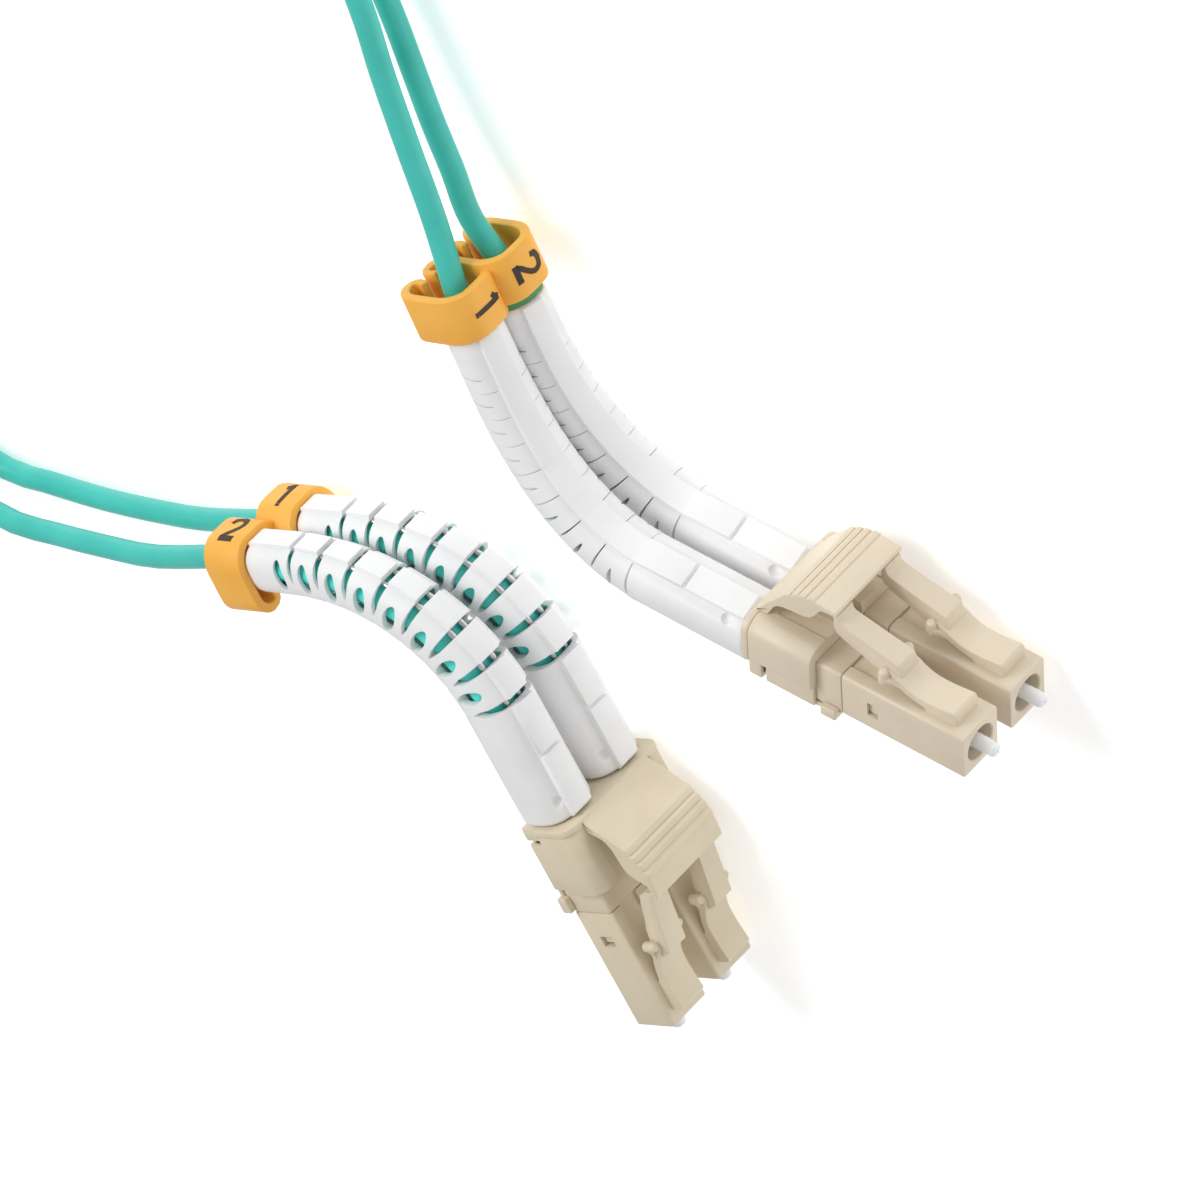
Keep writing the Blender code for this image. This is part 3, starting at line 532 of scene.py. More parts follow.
def make_materials():
    return {
        "beige": plastic("beige_plastic", (0.710, 0.610, 0.468), (0.750, 0.650, 0.503), 0.42),
        "beige_b": plastic("beige_plastic_b", (0.700, 0.605, 0.445), (0.740, 0.645, 0.478), 0.42),
        "boot": plastic("boot_plastic", (0.86, 0.86, 0.865), (0.90, 0.90, 0.905), 0.5, subsurface=0.12),
        # The cable inside a boot is the same jacket plastic as aqua_jacket, painted lighter: painted light
        # that offsets the shade inside the boot's slits.
        "sleeve": plastic("aqua_jacket_painted_light", (0.085, 0.80, 0.70), (0.11, 0.86, 0.76), 0.34, 2600.0, 0.08),
        "aqua": plastic("aqua_jacket", (0.042, 0.500, 0.430), (0.058, 0.560, 0.485), 0.38, 2600.0, 0.08),
        "yellow": plastic("marker_plastic", (0.900, 0.430, 0.055), (0.940, 0.480, 0.075), 0.5, 3000.0, 0.2),
        "digit": plastic("digit_ink", (0.030, 0.014, 0.007), (0.075, 0.040, 0.022), 0.6, 5200.0, 0.3),
        "green": plastic("band_plastic", (0.050, 0.270, 0.085), (0.070, 0.330, 0.110), 0.5),
        "ceramic": plastic(
            "ferrule_zirconia", (0.86, 0.87, 0.87), (0.90, 0.91, 0.91), 0.16, 5000.0, 0.02, subsurface=0.3
        ),
        "steel": metal("wire_steel", (0.50, 0.50, 0.51), (0.72, 0.72, 0.73), 0.22),
        "brass": metal("flange_brass", (0.62, 0.46, 0.22), (0.76, 0.58, 0.30), 0.28),
        "nickel": metal("crimp_nickel", (0.55, 0.53, 0.50), (0.70, 0.68, 0.64), 0.28),
        "glass": plastic("fibre_glass", (0.30, 0.33, 0.36), (0.42, 0.45, 0.48), 0.08, 6000.0, 0.0),
        "strap": strap_material(),
    }


def strap_material():
    """Woven hook-and-loop strap: crossed threads in colour and height."""
    nodes = Nodes("strap_weave")
    waves = []
    for direction in ("X", "Y"):
        inputs = {"Vector": nodes.texture_space(), "Scale": 900.0, "Distortion": 1.5}
        waves.append(nodes.add("TexWave", inputs, bands_direction=direction).outputs["Fac"])
    weave = nodes.add("Math", {0: waves[0], 1: waves[1]}, operation="MULTIPLY").outputs["Value"]
    nodes.set(Base_Color=nodes.ramp(weave, [(0.0, (0.012, 0.012, 0.013)), (0.8, (0.045, 0.045, 0.048))]))
    nodes.set(Roughness=0.85, Sheen_Weight=0.4)
    nodes.bump(weave, 0.5, 0.0001)
    return nodes.material


# ---- plug pieces


def square_section(half, radius, steps=5):
    """A rounded square as (y, z) points."""
    points = []
    for quarter in range(4):
        corner = math.pi / 2 * quarter
        cy = (half - radius) * (1 if quarter in (0, 3) else -1)
        cz = (half - radius) * (1 if quarter in (0, 1) else -1)
        for k in range(steps + 1):
            angle = corner + math.pi / 2 * k / steps
            points.append((cy + radius * math.cos(angle), cz + radius * math.sin(angle)))
    return points


def soft_block(name, section_of, front, back, soft):
    """A bar along X from a section that takes an inset, with softened front and back edges."""
    rings = []
    for x, inset in (
        (-front, soft), (-front - soft * 0.3, soft * 0.3), (-front - soft, 0.0),
        (-back + soft, 0.0), (-back + soft * 0.3, soft * 0.3), (-back, soft),
    ):
        rings.append([(x, y, z) for y, z in section_of(inset)])
    return skin(name, rings)


def square_bar(name, half, front, back, soft):
    """A bar along X with a rounded square section and softened ends."""
    def section(inset):
        return square_section(half - inset, max(PLUG_CORNER - inset * 0.5, 0.05))

    return soft_block(name, section, front, back, soft)


def housing_mesh():
    body = square_bar("housing", HALF, 0.0, HOUSING_LENGTH, 0.12)
    cutters = [
        rod("bore", BORE_R, 0.5, -3.4, 56),
        rod("bore_mouth", 1.95, 0.3, -0.17, 56, 1.55),
        rod("shoulder", 0.92, -3.0, -4.6, 32),
        rod("cavity", 1.7, -4.2, -HOUSING_LENGTH - 1, 40),
        box("tongue_slot", (-HOUSING_LENGTH - 1, -0.72, -2.0), (-8.25, 0.72, 2.0)),
        box("window", (-9.3, -0.71, -HALF - 1), (-8.27, 0.71, HALF + 1)),
        plate("latch_hollow", [(-HOUSING_LENGTH - 1, 1.95), (-HOUSING_LENGTH - 1, 3), (-8.0, 3), (-9.2, 2.2),
                               (-10.6, 1.95)], -1.0, 1.0),
    ]
    return applied(joined(body, cutters, "DIFFERENCE"))


def latch_mesh():
    """The sprung arm: wedge on the housing, hinge plate, ears, a step, and a tapered arm with a tail."""
    plate_part = plate(
        "hinge_plate",
        [
            (-1.24, HALF - 0.3), (-1.24, 3.28), (-1.32, 3.46), (-1.52, 3.585), (-2.10, 3.50), (-3.00, 3.375),
            (-3.70, 3.325), (-4.35, 3.31), (-4.9, 3.345), (-5.5, 3.48), (-6.1, 3.74), (-6.62, 4.12),
            (-7.6, 4.60), (-8.35, 4.62), (-8.35, 4.02), (-7.8, 3.84), (-7.2, 3.50), (-6.2, 3.02),
            (-5.3, 2.70), (-4.7, 2.58), (-4.40, 2.50), (-4.22, 2.42), (-4.15, HALF - 0.3),
        ],
        -HINGE_HALF, HINGE_HALF,
    )
    plate_part = rounded(plate_part, 0.08, 3)
    top = [(-6.60, 4.15), (-6.72, 4.60), (-6.98, 5.24), (-7.12, 5.30), (-10.0, 5.98), (-12.45, 6.50)]
    lip = [(-12.70, 6.72), (-12.80, 7.23), (-13.12, 7.23), (-13.24, 7.05)]
    under = [
        (-13.24, 5.95), (-12.95, 5.42), (-12.2, 5.04), (-10.6, 4.50), (-9.4, 3.98), (-8.3, 3.72),
        (-7.3, 3.62),
    ]
    outline = top + lip + under

    def taper(y):
        return 0.16 * clamped((y - 3.7) / 3.0)

    arm = rounded(plate("arm", outline, -LATCH_HALF, LATCH_HALF, taper), 0.07, 3)
    ears = []
    for side in (-1, 1):
        rings = []
        for height, r in ((3.42, 0.36), (3.55, 0.46), (4.35, 0.46), (4.62, 0.39), (4.74, 0.24)):
            rings.append([(-8.02 + r * c, height, side * (1.62 + r * s)) for c, s in around(20)])
        ears.append(skin("ear", rings))
        web = [
            (-5.6, 1.30), (-6.5, 1.44), (-7.2, 1.62), (-7.7, 1.95), (-8.1, 2.02), (-8.42, 1.8), (-8.42, 1.2),
            (-5.6, 1.1),
        ]
        low = [(x, 2.96 + max(-5.6 - x, 0.0) * 0.36, side * z) for x, z in web]
        high = [(x, 3.44 + max(-5.6 - x, 0.0) * 0.32, side * z) for x, z in web]
        ears.append(skin("ear_web", [low, high]))
    whole = joined(arm, [plate_part] + ears, "UNION")
    return applied(rounded(whole, 0.05, 2, 40.0))


def rear_body_mesh():
    """What shows of the body behind the housing, and its snap tongues in the windows."""
    body = square_bar("rear_body", HALF - 0.02, HOUSING_LENGTH + GAP, BODY_BACK + 0.6, 0.07)
    additions = []
    for sign in (-1, 1):
        low, high = sorted((sign * 1.5, sign * 1.92))
        additions.append(box("tongue", (-HOUSING_LENGTH - 0.5, -0.58, low), (-8.5, 0.58, high)))
    body = joined(body, additions, "UNION")
    room = rod("room", 1.5, -HOUSING_LENGTH + 1, -BODY_BACK - 2, 32)
    return applied(joined(body, [room], "DIFFERENCE"))


def ferrule_mesh():
    front, r = FERRULE_FRONT, FERRULE_R
    profile = [
        (front, 0.07), (front + 0.012, 0.2), (front, r * 0.6), (front - 0.07, r * 0.78),
        (front - 0.19, r * 0.95), (front - 0.26, r), (-6.47, r), (-6.47, 0.07),
    ]
    return applied(turned("ferrule", profile, 48))


def fibre_mesh():
    return applied(turned("fibre", [(1.635, 0.0001), (1.635, 0.062), (1.2, 0.062), (1.2, 0.0001)], 24))


# ---- clip and lever


def clip_section(half, top, low, chamfer, radius):
    """Half-round-cornered block section as (y, z) points about the clip's middle."""
    corners = [
        (low, -half, radius * 0.6), (low, half, radius * 0.6), (top - chamfer, half, radius),
        (top, half - chamfer * 1.25, radius), (top, -half + chamfer * 1.25, radius),
        (top - chamfer, -half, radius),
    ]
    return soft_polygon(corners)


def soft_polygon(corners, steps=4):
    """A polygon whose corners (a, b, radius) are cut with small curves."""
    points = []
    count = len(corners)
    for k, (a, b, radius) in enumerate(corners):
        here = Vector((a, b))
        before = Vector(corners[k - 1][:2]) - here
        after = Vector(corners[(k + 1) % count][:2]) - here
        cut = min(radius, before.length * 0.45, after.length * 0.45)
        first = here + before.normalized() * cut
        last = here + after.normalized() * cut
        for j in range(steps + 1):
            t = j / steps
            points.append(tuple(first * (1 - t) ** 2 + here * 2 * t * (1 - t) + last * t * t))
    return points


def turned_opening(z):
    """The round mouth that a boot's sleeve passes through at the clip's back."""
    radius = 2.3
    rings = []
    for x in (-CLIP_BACK - 1, -CLIP_BACK + 0.6):
        rings.append([(x, radius * c, z + radius * s) for c, s in around(48)])
    return skin("mouth", rings)


def clip_mesh():
    half = PITCH / 2 + CLIP_HALF_OVER
    base_half = PITCH / 2 + 2.6
    top = CLIP_TOP

    def block(inset):
        return clip_section(half - inset, top - inset, -0.5 + inset, 0.75, 0.45)

    def rim(inset):
        return clip_section(half + 0.07 - inset, top + 0.05 - inset, -0.56 + inset, 0.75, 0.45)

    def base(inset):
        h = base_half - inset
        return soft_polygon([
            (-2.75 + inset, -h, 0.35), (-2.75 + inset, h, 0.35), (0.0, h, 0.1), (0.0, -h, 0.1)
        ])

    body = soft_block("clip_block", block, CLIP_FRONT, CLIP_BACK - 0.5, 0.2)
    additions = [
        soft_block("clip_rim", rim, CLIP_BACK - 0.62, CLIP_BACK, 0.09),
        soft_block("clip_base", base, CLIP_FRONT + 0.1, CLIP_BACK - 1.9, 0.1),
        soft_block("clip_foot", base, CLIP_BACK - 1.45, CLIP_BACK - 0.25, 0.1),
        rounded(box("clip_floor", (-CLIP_FRONT - 0.5, -2.75, -base_half + 0.3),
                    (-HOUSING_LENGTH - 0.3, -HALF - GAP, base_half - 0.3)), 0.12),
    ]
    tab_half = PITCH / 2 + HALF + 0.62
    for side in (-1, 1):
        low, high = sorted((side * (PITCH / 2 + HALF - 0.3), side * tab_half))
        tab = box("clip_tab", (-HOUSING_LENGTH - 1.75, -2.75, low), (-HOUSING_LENGTH - 0.3, -1.75, high))
        additions.append(rounded(tab, 0.14))
    body = joined(body, additions, "UNION")
    pocket = HALF + 0.02
    cutters = []
    for side in (-1, 1):
        z = side * PITCH / 2
        low, high = (-CLIP_BACK + 0.5, -pocket, z - pocket), (-CLIP_FRONT + 3, pocket, z + pocket)
        cutters.append(box("pocket", low, high))
        cutters.append(turned_opening(z))
    body = joined(body, cutters, "DIFFERENCE")
    # Shallow moulded step along the top over each plug, and the recess between the plugs' latches.
    steps = []
    for side in (-1, 1):
        low, high = sorted((side * 3.9, side * 2.2))
        steps.append(box("clip_step", (-CLIP_BACK + 1.9, top - 0.12, low), (-CLIP_FRONT + 1, top + 1, high)))
    steps.append(box("clip_recess", (-CLIP_FRONT - 2.6, 1.6, -0.75), (-CLIP_FRONT + 1, top + 1, 0.75)))
    return applied(joined(body, steps, "DIFFERENCE"))


def lever_mesh():
    """A bowed thumb plate with grip ridges across it, and sides that dip lower than its middle."""
    top = [
        (-20.72, 3.64), (-20.56, 3.72), (-20.38, 3.90), (-20.18, 4.18), (-19.86, 4.62), (-19.40, 5.16),
        (-18.90, 5.72), (-18.45, 6.24), (-18.12, 6.60),
    ]
    for x, y in ((-17.86, 6.84), (-17.12, 7.32), (-16.34, 7.66), (-15.46, 7.90)):
        slope = 0.62 if x < -17.5 else 0.44 if x < -16.8 else 0.26 if x < -16 else 0.1
        top += [(x, y + 0.10), (x + 0.07, y + 0.17 + slope * 0.07), (x + 0.44, y + 0.15 + slope * 0.40),
                (x + 0.56, y + 0.10 + slope * 0.50), (x + 0.60, y + slope * 0.55)]
    top += [(-14.70, 7.97), (-14.2, 7.95), (-13.4, 7.86), (-12.95, 7.78), (-12.82, 7.66)]
    lip, root = [(-12.84, 7.42), (-13.05, 7.35), (-13.7, 7.34)], (-19.56, 3.58)
    under_side = [
        (-14.28, 7.20), (-14.55, 6.85), (-14.9, 6.25), (-15.35, 5.78), (-15.9, 5.55), (-16.5, 5.47),
        (-17.2, 5.42), (-17.95, 5.32), (-18.5, 5.12), (-18.9, 4.80), (-19.15, 4.35), (-19.35, 3.95),
    ]
    under_middle = [
        (-14.3, 7.33), (-14.7, 7.25), (-15.2, 7.10), (-15.7, 6.95), (-16.1, 6.80), (-16.6, 6.60),
        (-17.2, 6.25), (-17.8, 5.75), (-18.3, 5.30), (-18.75, 4.90), (-19.05, 4.45), (-19.30, 3.98),
    ]
    half = LEVER_HALF_WIDTH
    edge = [(0.0, 1.0, 0.16), (0.05, 1.0, 0.06), (0.16, 1.0, 0.0), (0.62, 1.0, 0.0), (0.85, 0.0, 0.0)]
    stations = [(-half + depth, side, inset) for depth, side, inset in edge]
    stations += [(half - depth, side, inset) for depth, side, inset in reversed(edge)]
    rings = []
    for z, side, inset in stations:
        under = [Vector(a) * side + Vector(b) * (1 - side) for a, b in zip(under_side, under_middle)]
        ring = [(x, y - inset, z) for x, y in top]
        ring += [(x, y + inset * 0.6, z) for x, y in lip + under + [root]]
        ring.append((-20.72, 3.58, z))
        rings.append(ring)
    return applied(skin("lever", rings))


# ---- boots


def boot_half(back):
    return BOOT_HALF_FRONT + (BOOT_HALF_TAIL - BOOT_HALF_FRONT) * clamped((back - FLEX_START) / FLEX_LENGTH)


def boot_section(half, rail):
    """Half-round above and squarer below, with a raised flat rail towards the latch, as (y, z) points."""
    rail_half = RAIL_HALF * half / BOOT_HALF_FRONT
    side = [(half + rail, rail_half * share) for share in (0.0, 0.55, 0.92)]
    side.append((half + rail * 0.9, rail_half))
    for _, s in quarter(9):
        z = rail_half * 1.04 + (half - rail_half * 1.04) * s
        side.append((half * max(1 - (z / half) ** 2.5, 0.0) ** 0.4, z))
    for c, s in quarter(10)[1:]:
        reach = (c**3.0 + s**3.0) ** (-1 / 3.0)
        side.append((-half * reach * s, half * reach * c))
    return side + [(y, -z) for y, z in side[-2:0:-1]]


def flex_rings(slits):
    """Distances behind the nose where the skin needs a ring: round each slit's turning zone."""
    backs = []
    for slit in range(SLIT_COUNT):
        middle = FLEX_START + (slit + 0.5) * SLIT_PITCH
        zone = slits[slit % 2] / 2 + ZONE_MARGIN + 0.02
        backs += [middle - zone, middle, middle + zone]
    return backs


def bore_section(half_y_low, half_y_high, half_z, corner):
    corners = [
        (half_y_high, half_z * 0.72, corner), (half_y_high * 0.45, half_z, corner),
        (-half_y_low * 0.6, half_z, corner), (-half_y_low, half_z * 0.6, corner),
    ]
    corners += [(y, -z, r) for y, z, r in reversed(corners)]
    return soft_polygon(corners, 3)


def across_cutters(x, width):
    """The pointed slit down from the boot's top and the short one up from its underside."""
    w, tip, reach = width / 2, ACROSS_TOP_FLOOR, CUTTER_REACH
    outline = [(x - w, reach), (x + w, reach), (x + w, tip + 1.0), (x + w * 0.3, tip), (x - w * 0.3, tip),
               (x - w, tip + 1.0)]
    # Where the bend squeezes the rail, its slits are pressed shut.
    spans = [(-reach, reach)] if w > 0.05 else [(-reach, -1.2), (1.2, reach)]
    cutters = [plate("slit_top", outline, low, high) for low, high in spans]
    cutters.append(box("slit_low", (x - w, -reach, -reach), (x + w, ACROSS_LOW_CEILING, reach)))
    return cutters


def side_cutters(x, width):
    """An oval opening in each side of the boot."""
    middle, tall = (SIDE_LOW + SIDE_HIGH) / 2, (SIDE_HIGH - SIDE_LOW) / 2
    oval = [(x + width / 2 * c, middle + tall * s) for c, s in around(20)]
    return [plate("slit_side", oval, low, high) for low, high in ((0.7, CUTTER_REACH), (-CUTTER_REACH, -0.7))]


def straight_boot(slits):
    """The whole boot before bending, with its slits cut and its edges softened."""
    flex_end = FLEX_START + FLEX_LENGTH
    sections = [
        (BOOT_FRONT, -0.38, 0.0), (BOOT_FRONT + 0.08, -0.2, 0.2), (BOOT_FRONT + 0.22, -0.07, 0.3),
        (BOOT_FRONT + 0.45, 0.0, RAIL_RISE),
    ]
    sections += [(back, 0.0, RAIL_RISE) for back in (22.5, 24.5, 26.5, RAIL_NOTCH - 0.2)]
    sections += [(RAIL_NOTCH - 0.14, 0.0, 0.02), (RAIL_NOTCH + 0.14, 0.0, 0.02)]
    sections += [(back, 0.0, RAIL_RISE) for back in (RAIL_NOTCH + 0.2, 28.8, 30.2, FLEX_START - 0.1)]
    sections += [(back, 0.0, 0.38 - 0.12 * (back - FLEX_START) / FLEX_LENGTH) for back in flex_rings(slits)]
    sections += [
        (flex_end + 0.4, 0.0, 0.26), (NECK_START - 0.5, 0.0, 0.24), (NECK_START - 0.16, -0.04, 0.2),
        (NECK_START - 0.03, -0.16, 0.1),
    ]
    rings = []
    for back, grow, rail in sections:
        rings.append([(-back, y, z) for y, z in boot_section(boot_half(back) + grow, max(rail, 0.001))])
    for back, half in ((NECK_START, NECK_R), (BOOT_END - 0.15, NECK_R), (BOOT_END, NECK_R - 0.15)):
        rings.append([(-back, y, z) for y, z in boot_section(half, 0.001)])
    boot = skin("boot_skin", rings)

    bore = []
    wide = bore_section(1.6, 2.12, 2.0, 0.7)
    tight = bore_section(1.07, 1.07, 1.07, 0.4)
    sleeve = bore_section(1.62, 1.62, 1.62, 0.5)
    for back, section in (
        (BOOT_FRONT - 0.5, sleeve), (FLEX_START - 5.0, sleeve), (FLEX_START - 4.95, wide),
        (flex_end + 1.55, wide), (flex_end + 1.6, tight), (BOOT_END + 0.5, tight),
    ):
        bore.append([(-back, y, z) for y, z in section])
    cutters = [skin("boot_bore", bore)]
    for slit in range(SLIT_COUNT):
        x = -(FLEX_START + (slit + 0.5) * SLIT_PITCH)
        width = slits[slit % 2]
        cutters += side_cutters(x, width) if slit % 2 else across_cutters(x, width)
    # The round dimple beside the rail near the clip.
    dimple = bmesh.new()
    bmesh.ops.create_uvsphere(dimple, u_segments=24, v_segments=12, radius=0.5)
    bmesh.ops.translate(dimple, vec=(-22.9, 2.5, 1.62), verts=dimple.verts)
    cutters.append(from_bmesh(dimple, "dimple"))
    boot = joined(boot, cutters, "DIFFERENCE")
    boot = rounded(boot, 0.055, 2, 48.0)
    bm = bmesh.new()
    bm.from_mesh(boot.data)
    for back in flex_rings(slits):
        everything = bm.verts[:] + bm.edges[:] + bm.faces[:]
        bmesh.ops.bisect_plane(bm, geom=everything, plane_co=(-back, 0, 0), plane_no=(1, 0, 0), dist=0.0005)
    bm.to_mesh(boot.data)
    bm.free()
    return boot


def half_of(obj, toward_tail):
    """The boot's part on one side of the split, closed there."""
    mesh = obj.data.copy()
    bm = bmesh.new()
    bm.from_mesh(mesh)
    cut = bmesh.ops.bisect_plane(
        bm, geom=bm.verts[:] + bm.edges[:] + bm.faces[:], plane_co=(-SPLIT_BACK, 0, 0), plane_no=(1, 0, 0),
        clear_outer=toward_tail, clear_inner=not toward_tail,
    )
    edges = [e for e in cut["geom_cut"] if isinstance(e, bmesh.types.BMEdge)]
    bmesh.ops.holes_fill(bm, edges=edges, sides=0)
    bm.to_mesh(mesh)
    bm.free()
    return mesh


def twisted(end, y, z):
    """A point of a boot's section, turned about the boot's own middle."""
    turn = math.radians(end["twist"])
    return y * math.cos(turn) - z * math.sin(turn), y * math.sin(turn) + z * math.cos(turn)


def bend_mesh(mesh, end, tag, table="stepped"):
    """A copy of a straight mesh, bent as a boot is."""
    bent_mesh = mesh.copy()
    for vert in bent_mesh.vertices:
        y, z = twisted(end, vert.co.y, vert.co.z)
        vert.co = placed(end, tag, end[table], -vert.co.x, y, z)
    return bent_mesh


def boot_cable(start, stop):
    """The cable in the boot, with the wider sleeve round it in the flexible stretch."""
    rings = []
    for back in backs_between(start, stop, 0.4):
        inside = min(back - FLEX_START + 1.2, FLEX_START + FLEX_LENGTH + 1.4 - back) / 0.8
        grow = clamped(inside)
        high = CABLE_R + (SLEEVE_HIGH - CABLE_R) * grow
        wide = CABLE_R + (SLEEVE_WIDE - CABLE_R) * grow
        rings.append([(-back, high * c, wide * s) for c, s in around(32)])
    return applied(skin("boot_cable", rings))


def backs_between(start, stop, step=0.5):
    count = max(2, round((stop - start) / step))
    return [start + (stop - start) * k / count for k in range(count + 1)]


def bent_run(end, tag, backs, height, z):
    """Points of the scene along a boot, at one height and z in its section."""
    return [end_point(end, *placed(end, tag, end["smooth"], back, height, z)) for back in backs]


# ---- markers


def marker_line():
    """Half the middle line of a marker's wall as (y, z), from the number face to the curled-in end."""
    half, face, back = 2.55, 2.95, 3.35
    line = [(face, 0.0), (face - 0.01, 0.55)]
    for c, s in quarter(8)[1:]:
        line.append((face - 2.35 * (1 - c), 0.75 + (half - 0.75) * s))
    line += [(-0.6, half), (-1.6, half)]
    for c, s in quarter(8)[1:-1]:
        line.append((-back + 1.45 * (1 - s), half - (half - 1.25) * (1 - c)))
    line += [(-back + 0.06, 0.92), (-back + 0.30, 0.66), (-back + 0.66, 0.56), (-back + 1.05, 0.62),
             (-back + 1.35, 0.80)]
    return line


def marker_mesh():
    half_line = marker_line()
    line = [(y, -z) for y, z in reversed(half_line)] + half_line[1:]
    inner, outer = [], []
    for k, (y, z) in enumerate(line):
        before, after = line[max(k - 1, 0)], line[min(k + 1, len(line) - 1)]
        dy, dz = after[0] - before[0], after[1] - before[1]
        length = math.hypot(dy, dz)
        thick = MARKER_WALL * (1.0 if abs(z) > 1.3 or y > 0 else 0.8)
        ny, nz = dz / length * thick / 2, -dy / length * thick / 2
        inner.append((y - ny, z - nz))
        outer.append((y + ny, z + nz))
    outline = outer + inner[::-1]
    half = MARKER_LENGTH / 2
    body = skin("marker", [[(-half, y, z) for y, z in outline], [(half, y, z) for y, z in outline]])
    return applied(rounded(body, 0.12, 3, 50.0))


DIGIT_STROKES = {
    1: [[(-0.46, 0.62), (-0.18, 0.74), (0.04, 1.0)], [(0.04, 1.0), (0.04, -1.0)]],
    2: [[(-0.60, 0.50), (-0.52, 0.78), (-0.28, 0.96), (0.02, 1.0), (0.34, 0.92), (0.54, 0.70), (0.56, 0.42),
         (0.42, 0.12), (0.10, -0.22), (-0.25, -0.52), (-0.52, -0.84)],
        [(-0.66, -0.86), (0.64, -0.86)]],
}
DIGIT_HEIGHT = 2.5
DIGIT_STROKE = 0.46
INK_RISE = 0.02


def face_point(along, across):
    """A point on the marker's number face, wrapped round its curve, and its normal: (x, y, z, ny, nz)."""
    line = [Vector(p) for p in marker_line()]
    left = abs(across)
    for first, second in zip(line, line[1:]):
        span = (second - first).length
        if left <= span:
            at = first.lerp(second, left / span)
            tangent = (second - first).normalized()
            normal = Vector((tangent.y, -tangent.x))
            at = at + normal * (MARKER_WALL / 2)
            return along, at.x, math.copysign(at.y, across), normal.x, math.copysign(normal.y, across)
        left -= span
    return along, line[-1].x, line[-1].y, 0.0, 1.0


def digit_mesh(number):
    """A printed digit as a very thin raised ink layer on the curved face, read along the axis."""
    bm = bmesh.new()
    for stroke in DIGIT_STROKES[number]:
        points = [Vector((a * DIGIT_HEIGHT / 2, b * DIGIT_HEIGHT / 2)) for a, b in stroke]
        dense = []
        for first, second in zip(points, points[1:]):
            for k in range(6):
                dense.append(first.lerp(second, k / 6))
        dense.append(points[-1])
        rows = []
        for k, p in enumerate(dense):
            before, after = dense[max(k - 1, 0)], dense[min(k + 1, len(dense) - 1)]
            tangent = (after - before).normalized()
            side = Vector((-tangent.y, tangent.x)) * DIGIT_STROKE / 2
            row = []
            for share in (-1, 0, 1):
                q = p + side * share
                # The digit's up runs across the face; its left-to-right runs along the cable.
                x, y, z, ny, nz = face_point(q.x, -q.y)
                row.append(bm.verts.new((x, y + ny * INK_RISE, z + nz * INK_RISE)))
            rows.append(row)
        for first, second in zip(rows, rows[1:]):
            for k in range(2):
                bm.faces.new((first[k], first[k + 1], second[k + 1], second[k]))
    obj = from_bmesh(bm, f"digit_{number}")
    modifier = obj.modifiers.new("thick", "SOLIDIFY")
    modifier.thickness = 0.03
    modifier.offset = 0.0
    return applied(obj)


# ---- cord


def leg_points(leg):
    """Evenly spaced points of a whole leg: boot A, coil, boot B, in millimetres."""
    routes = []
    for key, chosen in (("a", LEG_A[leg]), ("b", LEG_B[leg][::-1])):
        end = ENDS[key]
        backs = (BOOT_END + 0.15, BOOT_END + 1.2)
        tail = bent_run(end, f"{key}{leg}", backs, 0.0, channel_height(end, leg))
        routes.append(curve_through(tail + [Vector(p) for p in chosen], 60))
    rest = LEG_LENGTH / MM - sum(run_length(route) for route in routes)
    start, stop = routes[0][-1], routes[1][-1]
    tries = []
    for turns in (4, 5, 6):
        for step in range(60):
            inner = COIL_MEAN_R - COIL_REACH + CABLE_R + 0.02 + step * 0.06
            coil = wound(leg, start, stop, turns, inner)
            tries.append((abs(run_length([start] + coil + [stop]) - rest), coil))
    best = min(tries, key=lambda one: one[0])[1]
    return routes[0] + best + routes[1][::-1]


def wound(leg, start, stop, turns, inner):
    """A coil's points: inward on a lower layer, and outward on an upper one."""
    centre = Vector((*COIL_CENTRE, 0.0))
    first, last = (math.atan2(p.y - centre.y, p.x - centre.x) for p in (start, stop))
    start_r, stop_r = ((p - centre).xy.length for p in (start, stop))
    low_z = COIL_LOW + LAYER * (1.5 if leg == 1 else 0.5) + 0.02
    high_z = COIL_LOW + LAYER * (2.5 if leg == 1 else 3.5) + 0.02
    outer = COIL_MEAN_R + COIL_REACH - CABLE_R - 0.02
    total = (last - first) % (2 * math.pi) + 2 * math.pi * turns
    steps = int(turns * 40) + 24
    points = []
    for k in range(1, steps):
        share = k / steps
        angle = first + total * share
        edge, z_edge = (start_r, start.z) if share < 0.5 else (stop_r, stop.z)
        lead = eased(min(share, 1 - share) * total / 1.1)
        radius = inner + (outer - inner) * abs(2 * share - 1)
        radius = edge + (radius - edge) * lead
        if leg == 2:
            # Leg 2 steps inside leg 1 where it climbs past it.
            bump = max(0.0, 1 - abs(share - 0.5) * total / 1.4)
            radius -= (LAYER + 0.15) * math.sin(math.pi / 2 * min(bump * 1.6, 1.0))
        z = low_z + (high_z - low_z) * eased((share - 0.5) * total / 1.2 + 0.5)
        z = z_edge + (z - z_edge) * lead
        points.append(centre + Vector((radius * math.cos(angle), radius * math.sin(angle), z)))
    return points


def build_cords(materials):
    for leg in (1, 2):
        points = leg_points(leg)
        obj = wire(f"cable_leg_{leg}", points, CABLE_R, 5)
        obj.data.materials.append(materials["aqua"])
        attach(obj, "cord")
        nodes = [f"leg_a{leg}", f"leg_b{leg}"] + (["coil"] if leg == 1 else [])
        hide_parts(*nodes)


# ---- camera, light and floor


